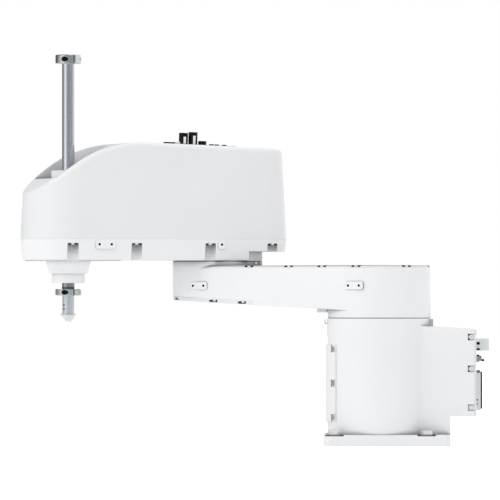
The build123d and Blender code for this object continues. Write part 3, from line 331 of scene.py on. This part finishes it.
# What the finishes of one kind share
turning_lines = (1.0, 1.0, 90.0)
satin = {"rough": (0.36, 0.48), "grain": 620.0, "depth": 0.00004, "edge": 0.0009}
cover = {"rough": (0.34, 0.44), "grain": 1900.0, "depth": 0.00002, "edge": 0.0009, "folds": cover_folds}
machined = {"grain": 700.0, "depth": 0.00001}
dark = {"rough": (0.34, 0.46), "grain": 900.0, "depth": 0.00001, "metal": 0.8, "edge": 0.0002}
lathed = {"rough": (0.28, 0.38), "grain": 50.0, "depth": 0.00001, "edge": 0.0003, "stretch": turning_lines}
plastic = {"grain": 1500.0, "depth": 0.00002}

finishes = {
    "dark_hole": finish("dark_hole", hole_black, (0.5, 0.7), 900.0, 0.00002, shine=0.1),
    "white_paint": finish("satin_paint", paint_white, folds=paint_folds, **satin),
    "lit_nose_paint": finish("satin_nose_paint", lit_nose_white, folds=paint_folds, **satin),
    "arm_paint": finish("satin_arm_paint", paint_white, folds=arm_folds, **satin),
    "base_paint": finish("satin_base_paint", paint_white, folds=base_folds, own_only=True, **satin),
    "white_cover": finish("moulded_cover", cover_white, **cover),
    "edge_shaded_cover": finish("edge_shaded_cover", cover_white, bands=edge_shade_band, **cover),
    "bright_steel": finish("bright_steel", steel, (0.22, 0.34), metal=1.0, edge=0.0003, **machined),
    "plated_steel": finish("plated_steel", plated_steel, (0.26, 0.38), metal=0.6, edge=0.0003, **machined),
    "ground_steel": finish("ground_steel", ground_steel, (0.15, 0.24), metal=1.0, edge=0.0004,
                           folds=slit_folds, **machined),
    "shaded_washer_steel": finish("shaded_washer_steel", shaded_washer_steel, **dark),
    "dark_steel": finish("blackened_steel", blackened_steel, **dark),
    "shaft_chrome": finish("ground_shaft", chrome, (0.09, 0.15), 60.0, 0.000004, metal=1.0,
                           stretch=turning_lines, bands=shaft_shade_band),
    "satin_aluminium": finish("turned_aluminium", aluminium, metal=1.0, **lathed),
    "sleeve": finish("anodised_sleeve", sleeve_blue, metal=0.85, **lathed),
    "motor_black": finish("black_paint", black, (0.45, 0.6), 800.0, 0.00003, edge=0.0005),
    "black_plastic": finish("black_moulding", black, (0.42, 0.55), edge=0.0004, shine=0.3, **plastic),
    "gloss_black": finish("glossy_moulding", black, (0.24, 0.34), 400.0, 0.000005, edge=0.0005, shine=0.2),
    "grey_plastic": finish("grey_moulding", light_grey, (0.40, 0.52), edge=0.0005, **plastic),
    "shade_grey": finish("dark_grey_moulding", shade_grey, (0.40, 0.52), edge=0.0004, **plastic),
    "black_rubber": finish("black_rubber", black, (0.62, 0.78), 900.0, 0.00003, edge=0.0004),
    "grey_rubber": finish("grey_rubber", stop_grey, (0.55, 0.7), 900.0, 0.00003, edge=0.0005),
    "ceramic_white": finish("pale_plastic", pale, (0.36, 0.46), edge=0.0004, **plastic),
    "two_tone": finish("two_tone_fitting", shade_grey, (0.35, 0.45), edge=0.0003, bands=fitting_band,
                       **plastic),
    "guard": finish("guard_plastic", guard_grey, (0.36, 0.46), edge=0.0004, **plastic),
}

# Nodes that look different from the others of their slot
nodes_of_look = {
    "lit_nose_paint": ("nose_housing",),
    "arm_paint": ("inner_arm_casting",),
    "base_paint": ("base_casting", "base_front_cover"),
    "edge_shaded_cover": ("inner_arm_top_cover",),
    "plated_steel": ("base_bolts", "rear_panel_screws", "inner_arm_top_cover_screws",
                     "inner_arm_bottom_cover_screws", "outer_arm_cover_screws"),
    # The base washers are dark: painted shade under the bolt heads
    "shaded_washer_steel": ("base_washers",),
    "ground_steel": ("upper_collar", "lower_collar"),
    # The collar screws are near black: painted shade in the collars' bores
    "dark_hole": ("collar_screws",),
    "sleeve": ("tool_sleeve",),
    "two_tone": ("rear_air_fittings",),
    "guard": ("axis_1_stop_block", "nut_guard", "tool_end_cone"),
}
look_of_node = {node: look for look, nodes in nodes_of_look.items() for node in nodes}


def dress_nodes():
    """Gives each node the look named above, or else the finish of its material slot."""
    for part in frame["record"]["subparts"]:
        node = part["node"]
        look = finishes[look_of_node.get(node, part["material_slot"])]
        for slot in frame["nodes"][node].material_slots:
            slot.material = look


dress_nodes()


# Small pieces that the solids leave out

smooth_below = math.radians(32.0)
on_axis = 1e-9
weld_distance = 1e-7


def piece_from(made, name, place, body, slot, look=None):
    """Puts a finished mesh at its place on a body, in the finish of its slot or in a look of its own."""
    mesh = bpy.data.meshes.new(name)
    made.to_mesh(mesh)
    made.free()
    for face in mesh.polygons:
        face.use_smooth = True
    mesh.set_sharp_from_angle(angle=smooth_below)
    mesh.materials.append(finishes[look or slot])
    piece = bpy.data.objects.new(name, mesh)
    piece.matrix_world = place
    bpy.context.scene.collection.objects.link(piece)
    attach(piece, body)


def turned_piece(name, outline, place, body, slot, look=None, steps=48):
    """A piece turned about its own Z axis from a closed outline of (radius, height) points."""
    made = bmesh.new()
    rings = []
    for step in range(steps):
        angle = math.tau * step / steps
        rings.append([made.verts.new((r * math.cos(angle), r * math.sin(angle), z)) for r, z in outline])
    count = len(outline)
    for step in range(steps):
        here, there = rings[step], rings[(step + 1) % steps]
        for index in range(count):
            after = (index + 1) % count
            if outline[index][0] < on_axis and outline[after][0] < on_axis:
                continue
            made.faces.new((here[index], there[index], there[after], here[after]))
    bmesh.ops.remove_doubles(made, verts=made.verts, dist=weld_distance)
    bmesh.ops.recalc_face_normals(made, faces=made.faces)
    piece_from(made, name, place, body, slot, look)


def cut_plate(name, outline, thickness, rounding, place, body, slot, look=None):
    """A flat piece with a closed outline of (x, y) points and rounded edges."""
    made = bmesh.new()
    face = made.faces.new([made.verts.new((x, y, 0.0)) for x, y in outline])
    raised = bmesh.ops.extrude_face_region(made, geom=[face])["geom"]
    bmesh.ops.translate(made, vec=(0.0, 0.0, thickness),
                        verts=[item for item in raised if isinstance(item, bmesh.types.BMVert)])
    bmesh.ops.recalc_face_normals(made, faces=made.faces)
    bmesh.ops.bevel(made, geom=list(made.edges), offset=rounding, segments=2, profile=0.5, affect="EDGES")
    piece_from(made, name, place, body, slot, look)


def frame_of(origin, outward, side):
    """A place with its local Z pointing outward and its local X as near to the side direction as can be."""
    z = Vector(outward).normalized()
    y = z.cross(Vector(side)).normalized()
    x = y.cross(z)
    turn = Matrix((x, y, z)).transposed().to_4x4()
    return Matrix.Translation(origin) @ turn


def rectangle(half_x, half_y):
    """The outline of a rectangle about its middle."""
    return [(-half_x, -half_y), (half_x, -half_y), (half_x, half_y), (-half_x, half_y)]


def arc_outline(inner, outer, start, end, steps=12):
    """The outline of a part of a flat ring, between two angles in degrees."""
    angles = [math.radians(start + (end - start) * step / steps) for step in range(steps + 1)]
    return ([(outer * math.cos(a), outer * math.sin(a)) for a in angles]
            + [(inner * math.cos(a), inner * math.sin(a)) for a in reversed(angles)])


def disc_outline(radius, height, chamfer):
    """The outline to turn a disc from, with its upper edge chamfered."""
    return [(0.0, 0.0), (radius, 0.0), (radius, height - chamfer), (radius - chamfer, height), (0.0, height)]


def lip_outline(outer):
    """The outline to turn a lip seal from, with its lip at the outside."""
    depth, height = 0.004, 0.0008
    inner = outer - depth
    return [(inner, 0.0), (outer - height / 2, 0.0), (outer, height / 2), (outer - height / 2, height),
            (inner, height)]


def seals():
    """Lip seals in the two gaps between turning parts."""
    setback, gap = 0.0006, 0.0001
    turned_piece("column_seal", lip_outline(shoulder_radius - setback),
                 Matrix.Translation((0.0, 0.0, column_top + gap)), "base", "black_rubber", steps=96)
    turned_piece("elbow_seal", lip_outline(elbow_radius - setback),
                 Matrix.Translation((elbow.x, elbow.y, elbow_top + gap)), "inner_arm", "black_rubber",
                 steps=96)


def hole_shade_liner(name, place, body):
    """A blackened liner in a tapped hole, with its lead-in just under the face of the pad: painted shade that
    keeps the hole dark.
    """
    outside, crest, bore = 0.00195, 0.00172, 0.00160
    bottom, floor = pad_rise - 0.0059, pad_rise - 0.0056
    rim, top = pad_rise - 0.0004, pad_rise - 0.0002
    outline = [(0.0, bottom), (outside, bottom), (outside, rim), (crest, top), (bore, rim), (bore, floor),
               (0.0, floor)]
    turned_piece(name, outline, place, body, "dark_steel", look="dark_hole", steps=32)


def inner_pad_hole_shades(side, word, face_out):
    """The dark liners, painted shade, in the holes of the two pads on one side of the inner arm."""
    lean = math.asin((shoulder_radius - elbow_radius) / inner_length)
    inset = (inner_pad_level - inner_low) * math.tan(inner_draft)
    for station, where in ((shoulder_pad_station, "shoulder"), (elbow_pad_station, "elbow")):
        across = (shoulder_radius - inset - station * math.sin(lean)) / math.cos(lean)
        wall = (on_inner_arm @ Matrix.Translation((station, side * across, inner_pad_level))
                @ Matrix.Rotation(-side * lean, 4, "Z") @ face_out)
        for offset, end in ((-pad_hole_spacing / 2, "rear"), (pad_hole_spacing / 2, "front")):
            hole = wall @ Matrix.Translation((offset, 0.0, 0.0))
            hole_shade_liner(f"inner_arm_insert_{where}_{word}_{end}", hole, "inner_arm")


def outer_pad_hole_shades(side, word, face_out):
    """The dark liners, painted shade, in the holes of the two pads on one side of the outer arm."""
    across = side * (outer_half_width - pad_rise)
    stations = ((outer_pad_station - pad_hole_spacing / 2, "front"),
                (outer_pad_station + pad_hole_spacing / 2, "nose"), (small_pad_station, "rear"))
    for station, where in stations:
        hole = on_outer_arm @ Matrix.Translation((station, across, outer_pad_level)) @ face_out
        hole_shade_liner(f"outer_arm_hole_shade_{where}_{word}", hole, "outer_arm")


def pad_hole_shades():
    """A dark liner, painted shade, in every hole of the pads."""
    for side, word in sides:
        face_out = Matrix.Rotation(-side * math.pi / 2, 4, "X")
        inner_pad_hole_shades(side, word, face_out)
        outer_pad_hole_shades(side, word, face_out)


def set_screws():
    """The two set screws in the side of the tool sleeve, their heights counted outward from its axis."""
    radius, socket, chamfer = 0.0015, 0.0007, 0.0001
    seat, floor, edge, top = 0.0084, 0.0086, 0.0088, 0.0089
    turn = math.radians(44.0)
    outline = [(0.0, seat), (radius, seat), (radius, edge), (socket + chamfer, top), (socket, floor),
               (0.0, floor)]
    for index, rise in enumerate((0.0095, 0.0155)):
        place = (Matrix.Translation((tool.x, tool.y, sleeve_low + rise)) @ Matrix.Rotation(turn, 4, "Z")
                 @ Matrix.Rotation(math.pi / 2, 4, "Y"))
        turned_piece(f"sleeve_set_screw_{index + 1}", outline, place, "tool", "dark_steel", look="dark_hole",
                     steps=24)


def loose_parts(mesh):
    """The corners of each joined patch of faces."""
    made = bmesh.new()
    made.from_mesh(mesh)
    waiting = set(made.verts)
    while waiting:
        part = {waiting.pop()}
        rim = part
        while rim:
            rim = {e.other_vert(v) for v in rim for e in v.link_edges} & waiting
            waiting -= rim
            part |= rim
        yield [v.co.copy() for v in part]
    made.free()


def screw_heads(node):
    """The middles of the screw heads in a node, known by the size of a head, from the rear to the front."""
    middles = []
    height_slack, width_slack = 0.00005, 0.0001
    for points in loose_parts(frame["nodes"][node].data):
        low = Vector([min(p[k] for p in points) for k in range(3)])
        high = Vector([max(p[k] for p in points) for k in range(3)])
        span = high - low
        as_high = abs(span.z - screw_head_height) < height_slack
        as_wide = abs(span.x - 2 * screw_head_radius) < width_slack
        if as_high and as_wide:
            middles.append((low + high) / 2)
    return sorted(middles, key=lambda middle: (round(middle.x, 4), middle.y))


def away_from(start, end, point):
    """The direction to a point from the nearest place on a line."""
    along = end - start
    share = (point - start).dot(along) / along.length_squared
    nearest = start + along * min(max(share, 0.0), 1.0)
    return (point - nearest).normalized()


def head_shade_rings():
    """Black open rings around the heads of the cover screws, open to the outside: painted shade, standing for
    the dark of the screw notches beside each head.
    """
    inner, outer, opening, rounding = 0.0037, 0.0068, 62.0, 0.0002
    lift, tail_station, front_station = 0.00005, -0.040, 0.225
    outline = arc_outline(inner, outer, opening, 360.0 - opening)
    shoulder = Vector((0.0, 0.0, 0.0))
    tail = on_outer_arm @ Vector((tail_station, 0.0, 0.0))
    front = on_outer_arm @ Vector((front_station, 0.0, 0.0))
    rows = (("outer_arm_cover_screws", "outer_arm", tail, front, -1.0),
            ("inner_arm_top_cover_screws", "inner_arm", shoulder, elbow, 1.0),
            ("inner_arm_bottom_cover_screws", "inner_arm", shoulder, elbow, -1.0))
    for node, body, start, end, facing in rows:
        for index, middle in enumerate(screw_heads(node)):
            out = away_from(start, end, Vector((middle.x, middle.y, 0.0)))
            seat = middle - Vector((0.0, 0.0, facing * (screw_head_height / 2 - lift)))
            cut_plate(f"{node}_shade_ring_{index + 1}", outline, screw_head_height, rounding,
                      frame_of(seat, (0.0, 0.0, facing), out), body, "black_rubber")


def ear_hole_shades():
    """Black plugs in the pairs of small holes in the rear panel's ears: painted shade that keeps the holes
    dark.
    """
    outline = disc_outline(radius=0.00135, height=0.0004, chamfer=0.0001)
    spacing, setback, sunk = 0.0072, 0.0096, 0.0003
    for side, word in sides:
        for row, level in enumerate((0.1205, 0.1700)):
            for step, end in ((-spacing / 2, "low"), (spacing / 2, "high")):
                spot = (casting_back + setback, side * (panel_side - sunk), level + step)
                turned_piece(f"ear_plug_{word}_{row + 1}_{end}", outline,
                             frame_of(spot, (0.0, side, 0.0), forward), "base", "black_rubber",
                             look="dark_hole", steps=24)


def signal_connector_screws(side, word):
    """A black screw and a dark steel one beside the signal connector, each on a narrower neck."""
    neck, neck_length, shoulder, length, chamfer = 0.0011, 0.0008, 0.0010, 0.0064, 0.0004
    clear_of_middle = 0.0150
    for level, radius, look in ((0.1599, 0.0019, "dark_hole"), (0.1509, 0.0015, "dark_steel")):
        outline = [(0.0, 0.0), (neck, 0.0), (neck, neck_length), (radius, shoulder),
                   (radius, length - chamfer), (radius - chamfer, length), (0.0, length)]
        spot = (panel_face, side * (clear_of_middle + radius), level)
        turned_piece(f"signal_connector_screw_{word}_{round(level * 1e4)}", outline,
                     frame_of(spot, backward, upright), "base", "dark_steel", look=look, steps=32)


def motor_connector_screws(side, word):
    """Two small screws in the side of the motor connector."""
    outline = disc_outline(radius=0.0014, height=0.0003, chamfer=0.0001)
    behind_panel = 0.0019
    for level, look in ((0.0716, "dark_hole"), (0.0652, "shade_grey")):
        spot = (panel_face - behind_panel, side * plug_side, level)
        turned_piece(f"motor_connector_screw_{word}_{round(level * 1e4)}", outline,
                     frame_of(spot, (0.0, side, 0.0), upright), "base", "dark_steel", look=look, steps=24)


def motor_connector_latch(side, word):
    """A flat latch in the side of the motor connector, near its top."""
    half_x, half_y, thickness, rounding = 0.0030, 0.0022, 0.0008, 0.0002
    behind_panel, sunk, below_top = 0.0040, 0.0001, 0.0020
    spot = (panel_face - behind_panel, side * (plug_side - sunk), plug_top - below_top)
    cut_plate(f"motor_connector_latch_{word}", rectangle(half_x, half_y), thickness, rounding,
              frame_of(spot, (0.0, side, 0.0), forward), "base", "grey_plastic", look="shade_grey")


def air_fitting_tip(side, word):
    """The black tip of an air fitting."""
    across, level, sunk = 0.009, 0.1336, 0.0001
    spot = (fitting_end + sunk, side * across, level)
    turned_piece(f"air_fitting_tip_{word}", disc_outline(radius=0.0018, height=0.0042, chamfer=0.0004),
                 frame_of(spot, backward, upright), "base", "black_plastic", look="dark_hole", steps=32)


def rear_connector_details():
    """What the connectors and fittings of the rear panel carry on each side."""
    for side, word in sides:
        signal_connector_screws(side, word)
        motor_connector_screws(side, word)
        motor_connector_latch(side, word)
        air_fitting_tip(side, word)


def on_crown(station, rise):
    """A place so far along the outer arm and so high above the sloping top of its hooded cover."""
    level = crown_level - (crown_station - station) * math.tan(crown_slope)
    return (on_outer_arm @ Matrix.Translation((station, 0.0, level)) @ Matrix.Rotation(-crown_slope, 4, "Y")
            @ Matrix.Translation((0.0, 0.0, rise)))


def socket_highlights():
    """A pale rib on the near side of each socket of the connector panel: a painted highlight on the glossy
    black socket.
    """
    inner, outer, start, end, rounding = 0.0071, 0.0078, 73.0, 103.0, 0.0001
    outline = arc_outline(inner, outer, start, end, steps=6)
    for station, word, low, height in ((0.042, "rear", 0.0015, 0.0146), (0.058, "front", 0.0028, 0.0110)):
        cut_plate(f"signal_socket_highlight_{word}", outline, height, rounding, on_crown(station, low),
                  "outer_arm", "ceramic_white")


def socket_plate_cap():
    """A black cap over the low plate beside the top socket."""
    half_x, half_y, thickness, rounding = 0.0074, 0.0072, 0.0027, 0.0003
    station, rise = 0.0819, 0.0017
    cut_plate("socket_plate_cap", rectangle(half_x, half_y), thickness, rounding, on_crown(station, rise),
              "outer_arm", "black_plastic")


def nose_neck_cover():
    """A pale ring that fills the groove between the nose housing and its ring."""
    inside, outside, height, gap = 0.0236, 0.0257, 0.0022, 0.0001
    turned_piece("nose_neck_cover", [(inside, 0.0), (outside, 0.0), (outside, height), (inside, height)],
                 Matrix.Translation((tool.x, tool.y, nose_low - gap - height)), "outer_arm", "ceramic_white",
                 steps=64)


def bore_shade_plug():
    """A plug along Y, beside the shaft, whose outer end is cut to the round of the collar."""
    offset, radius, rim_radius, bottom, steps = 0.0145, 0.0038, 0.0199, 0.0066, 32
    made = bmesh.new()
    rims = ([], [])
    for step in range(steps):
        angle = math.tau * step / steps
        x = offset + radius * math.cos(angle)
        z = radius * math.sin(angle)
        rims[0].append(made.verts.new((x, -bottom, z)))
        rims[1].append(made.verts.new((x, -math.sqrt(rim_radius ** 2 - x ** 2), z)))
    ends = (made.verts.new((offset, -bottom, 0.0)),
            made.verts.new((offset, -math.sqrt(rim_radius ** 2 - offset ** 2), 0.0)))
    for step in range(steps):
        after = (step + 1) % steps
        made.faces.new((rims[0][step], rims[0][after], rims[1][after], rims[1][step]))
        for rim, end in zip(rims, ends):
            made.faces.new((rim[step], rim[after], end))
    bmesh.ops.recalc_face_normals(made, faces=made.faces)
    return made


def collar_bore_shades():
    """Black plugs in the screw bores of the two collars: painted shade that keeps the bores dark."""
    turn = Matrix.Rotation(math.radians(117.0), 4, "Z")
    for node in ("upper_collar", "lower_collar"):
        low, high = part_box(node)
        place = Matrix.Translation((tool.x, tool.y, (low.z + high.z) / 2)) @ turn
        piece_from(bore_shade_plug(), f"{node}_bore_shade_plug", place, "tool", "black_rubber", look="dark_hole")


def column_mark():
    """A small angle bracket on the front of the column, under the inner arm."""
    root, reach, width, rounding = 0.0790, 0.0857, 0.008, 0.0001
    low, top = column_top - 0.0084, column_top - 0.0018
    post, foot = 0.0007, 0.0008
    outline = [(root, low), (reach, low), (reach, top), (reach - post, top), (reach - post, low + foot),
               (root, low + foot)]
    cut_plate("column_mark", outline, width, rounding,
              frame_of((0.0, width / 2, 0.0), (0.0, -1.0, 0.0), forward), "base", "dark_steel")


def elbow_lugs():
    """Two lugs on the rim of the elbow."""
    half_x, half_y, thickness, rounding = 0.0028, 0.0021, 0.0013, 0.0002
    below_top, sunk = 0.0024, 0.0004
    for index, angle in enumerate((math.radians(149.0), math.radians(163.0))):
        out = Vector((math.cos(angle), math.sin(angle), 0.0))
        spot = Vector((elbow.x, elbow.y, elbow_top - below_top)) + out * (elbow_radius - sunk)
        cut_plate(f"elbow_lug_{index + 1}", rectangle(half_x, half_y), thickness, rounding,
                  frame_of(spot, out, upright) @ Matrix.Rotation(math.pi / 2, 4, "Z"), "inner_arm",
                  "white_paint", look="ceramic_white")


seals()
pad_hole_shades()
set_screws()
head_shade_rings()
ear_hole_shades()
rear_connector_details()
socket_highlights()
socket_plate_cap()
nose_neck_cover()
collar_bore_shades()
column_mark()
elbow_lugs()


# The studio

white = (1.0, 1.0, 1.0, 1.0)
cool_white = (0.98, 0.99, 1.0, 1.0)


def mixed(tree, share, first, second):
    """The first shader, and as much of the second in its place as the share says."""
    made = add(tree, "ShaderNodeMixShader")
    link(tree, share, made.inputs["Fac"])
    link(tree, first, made.inputs[1])
    link(tree, second, made.inputs[2])
    return made.outputs["Shader"]


def floor_material():
    """A pale matt floor that keeps its shadows and shows near white."""
    material = bpy.data.materials.new("pale_floor")
    material.use_nodes = True
    tree = material.node_tree
    tree.nodes.clear()
    place = add(tree, "ShaderNodeTexCoord").outputs["Object"]
    matt = add(tree, "ShaderNodeBsdfDiffuse")
    slow = noise(tree, place, floor_waves)
    link(tree, tinted(tree, slow, floor_white, floor_darker_tone), matt.inputs["Color"])
    glow = add(tree, "ShaderNodeEmission", Color=white, Strength=floor_glow)
    both = add(tree, "ShaderNodeAddShader")
    link(tree, matt.outputs["BSDF"], both.inputs[0])
    link(tree, glow.outputs["Emission"], both.inputs[1])
    seen = add(tree, "ShaderNodeLightPath").outputs["Is Camera Ray"]
    shown = mixed(tree, seen, matt.outputs["BSDF"], both.outputs["Shader"])
    output = add(tree, "ShaderNodeOutputMaterial")
    link(tree, shown, output.inputs["Surface"])
    return material


def studio_floor():
    """A wide floor at the level of the mounting face."""
    corners = [(x, y, 0.0) for x, y in rectangle(floor_reach, floor_reach)]
    mesh = bpy.data.meshes.new("floor")
    mesh.from_pydata(corners, [], [(0, 1, 2, 3)])
    mesh.materials.append(floor_material())
    floor = bpy.data.objects.new("floor", mesh)
    bpy.context.scene.collection.objects.link(floor)


def sky_light(tree, direction, towards, strength):
    """Soft light from one side: full along its own direction, fading out a quarter turn away."""
    facing = add(tree, "ShaderNodeVectorMath", operation="DOT_PRODUCT")
    link(tree, direction, facing.inputs[0])
    facing.inputs[1].default_value = Vector(towards).normalized()
    above = reckoned(tree, "MAXIMUM", facing.outputs["Value"], 0.0)
    squared = reckoned(tree, "MULTIPLY", above, above)
    return reckoned(tree, "MULTIPLY", squared, strength)


def white_walls(tree, direction):
    """What metal sees: white walls with the darker front of the studio between them."""
    parts = add(tree, "ShaderNodeSeparateXYZ")
    link(tree, direction, parts.inputs["Vector"])
    turn = reckoned(tree, "ARCTAN2", parts.outputs["X"], parts.outputs["Y"])
    around = add(tree, "ShaderNodeMapRange", From_Min=-math.pi, From_Max=math.pi)
    link(tree, turn, around.inputs["Value"])
    return graded(tree, around.outputs["Result"], [(angle / 360.0 + 0.5, level) for angle, level in walls])


def studio_world():
    """White for the camera, broad soft lights for matt surfaces and white walls for glossy ones."""
    world = bpy.data.worlds.new("studio")
    bpy.context.scene.world = world
    world.use_nodes = True
    tree = world.node_tree
    tree.nodes.clear()
    direction = add(tree, "ShaderNodeTexCoord").outputs["Generated"]
    lights = [sky_light(tree, direction, towards, strength) for towards, strength in sky_lights.values()]
    total = lights[0]
    for light in lights[1:]:
        total = reckoned(tree, "ADD", total, light)
    path = add(tree, "ShaderNodeLightPath")
    soft = add(tree, "ShaderNodeBackground", Color=cool_white)
    link(tree, total, soft.inputs["Strength"])
    shiny = add(tree, "ShaderNodeBackground", Strength=gloss_strength)
    link(tree, white_walls(tree, direction), shiny.inputs["Color"])
    plain = add(tree, "ShaderNodeBackground", Color=white, Strength=1.0)
    shown = soft.outputs["Background"]
    for name, seen in (("Is Glossy Ray", shiny), ("Is Transmission Ray", plain), ("Is Camera Ray", plain)):
        shown = mixed(tree, path.outputs[name], shown, seen.outputs["Background"])
    output = add(tree, "ShaderNodeOutputWorld")
    link(tree, shown, output.inputs["Surface"])


def square_lamp(name, place, size, power):
    """A lamp that lights the robot and isn't mirrored in its metal."""
    data = bpy.data.lights.new(name, "AREA")
    data.shape = "SQUARE"
    data.size = size
    data.energy = power
    lamp = bpy.data.objects.new(name, data)
    lamp.visible_glossy = False
    lamp.location = place
    lamp.rotation_euler = (Vector(lamp_target) - Vector(place)).to_track_quat("-Z", "Y").to_euler()
    bpy.context.scene.collection.objects.link(lamp)


def camera():
    """A long lens that looks along -Y, turned a little upward."""
    data = bpy.data.cameras.new("camera")
    data.lens = camera_lens
    data.sensor_width = sensor_width
    data.clip_end = far_clip
    view = bpy.data.objects.new("camera", data)
    view.location = camera_place
    view.rotation_euler = (math.radians(90.0) + camera_tilt, 0.0, math.radians(180.0))
    bpy.context.scene.collection.objects.link(view)
    bpy.context.scene.camera = view


studio_floor()
studio_world()
for lamp_name, lamp_settings in lamps.items():
    square_lamp(lamp_name, *lamp_settings)
camera()
bpy.context.scene.view_settings.view_transform = "Standard"
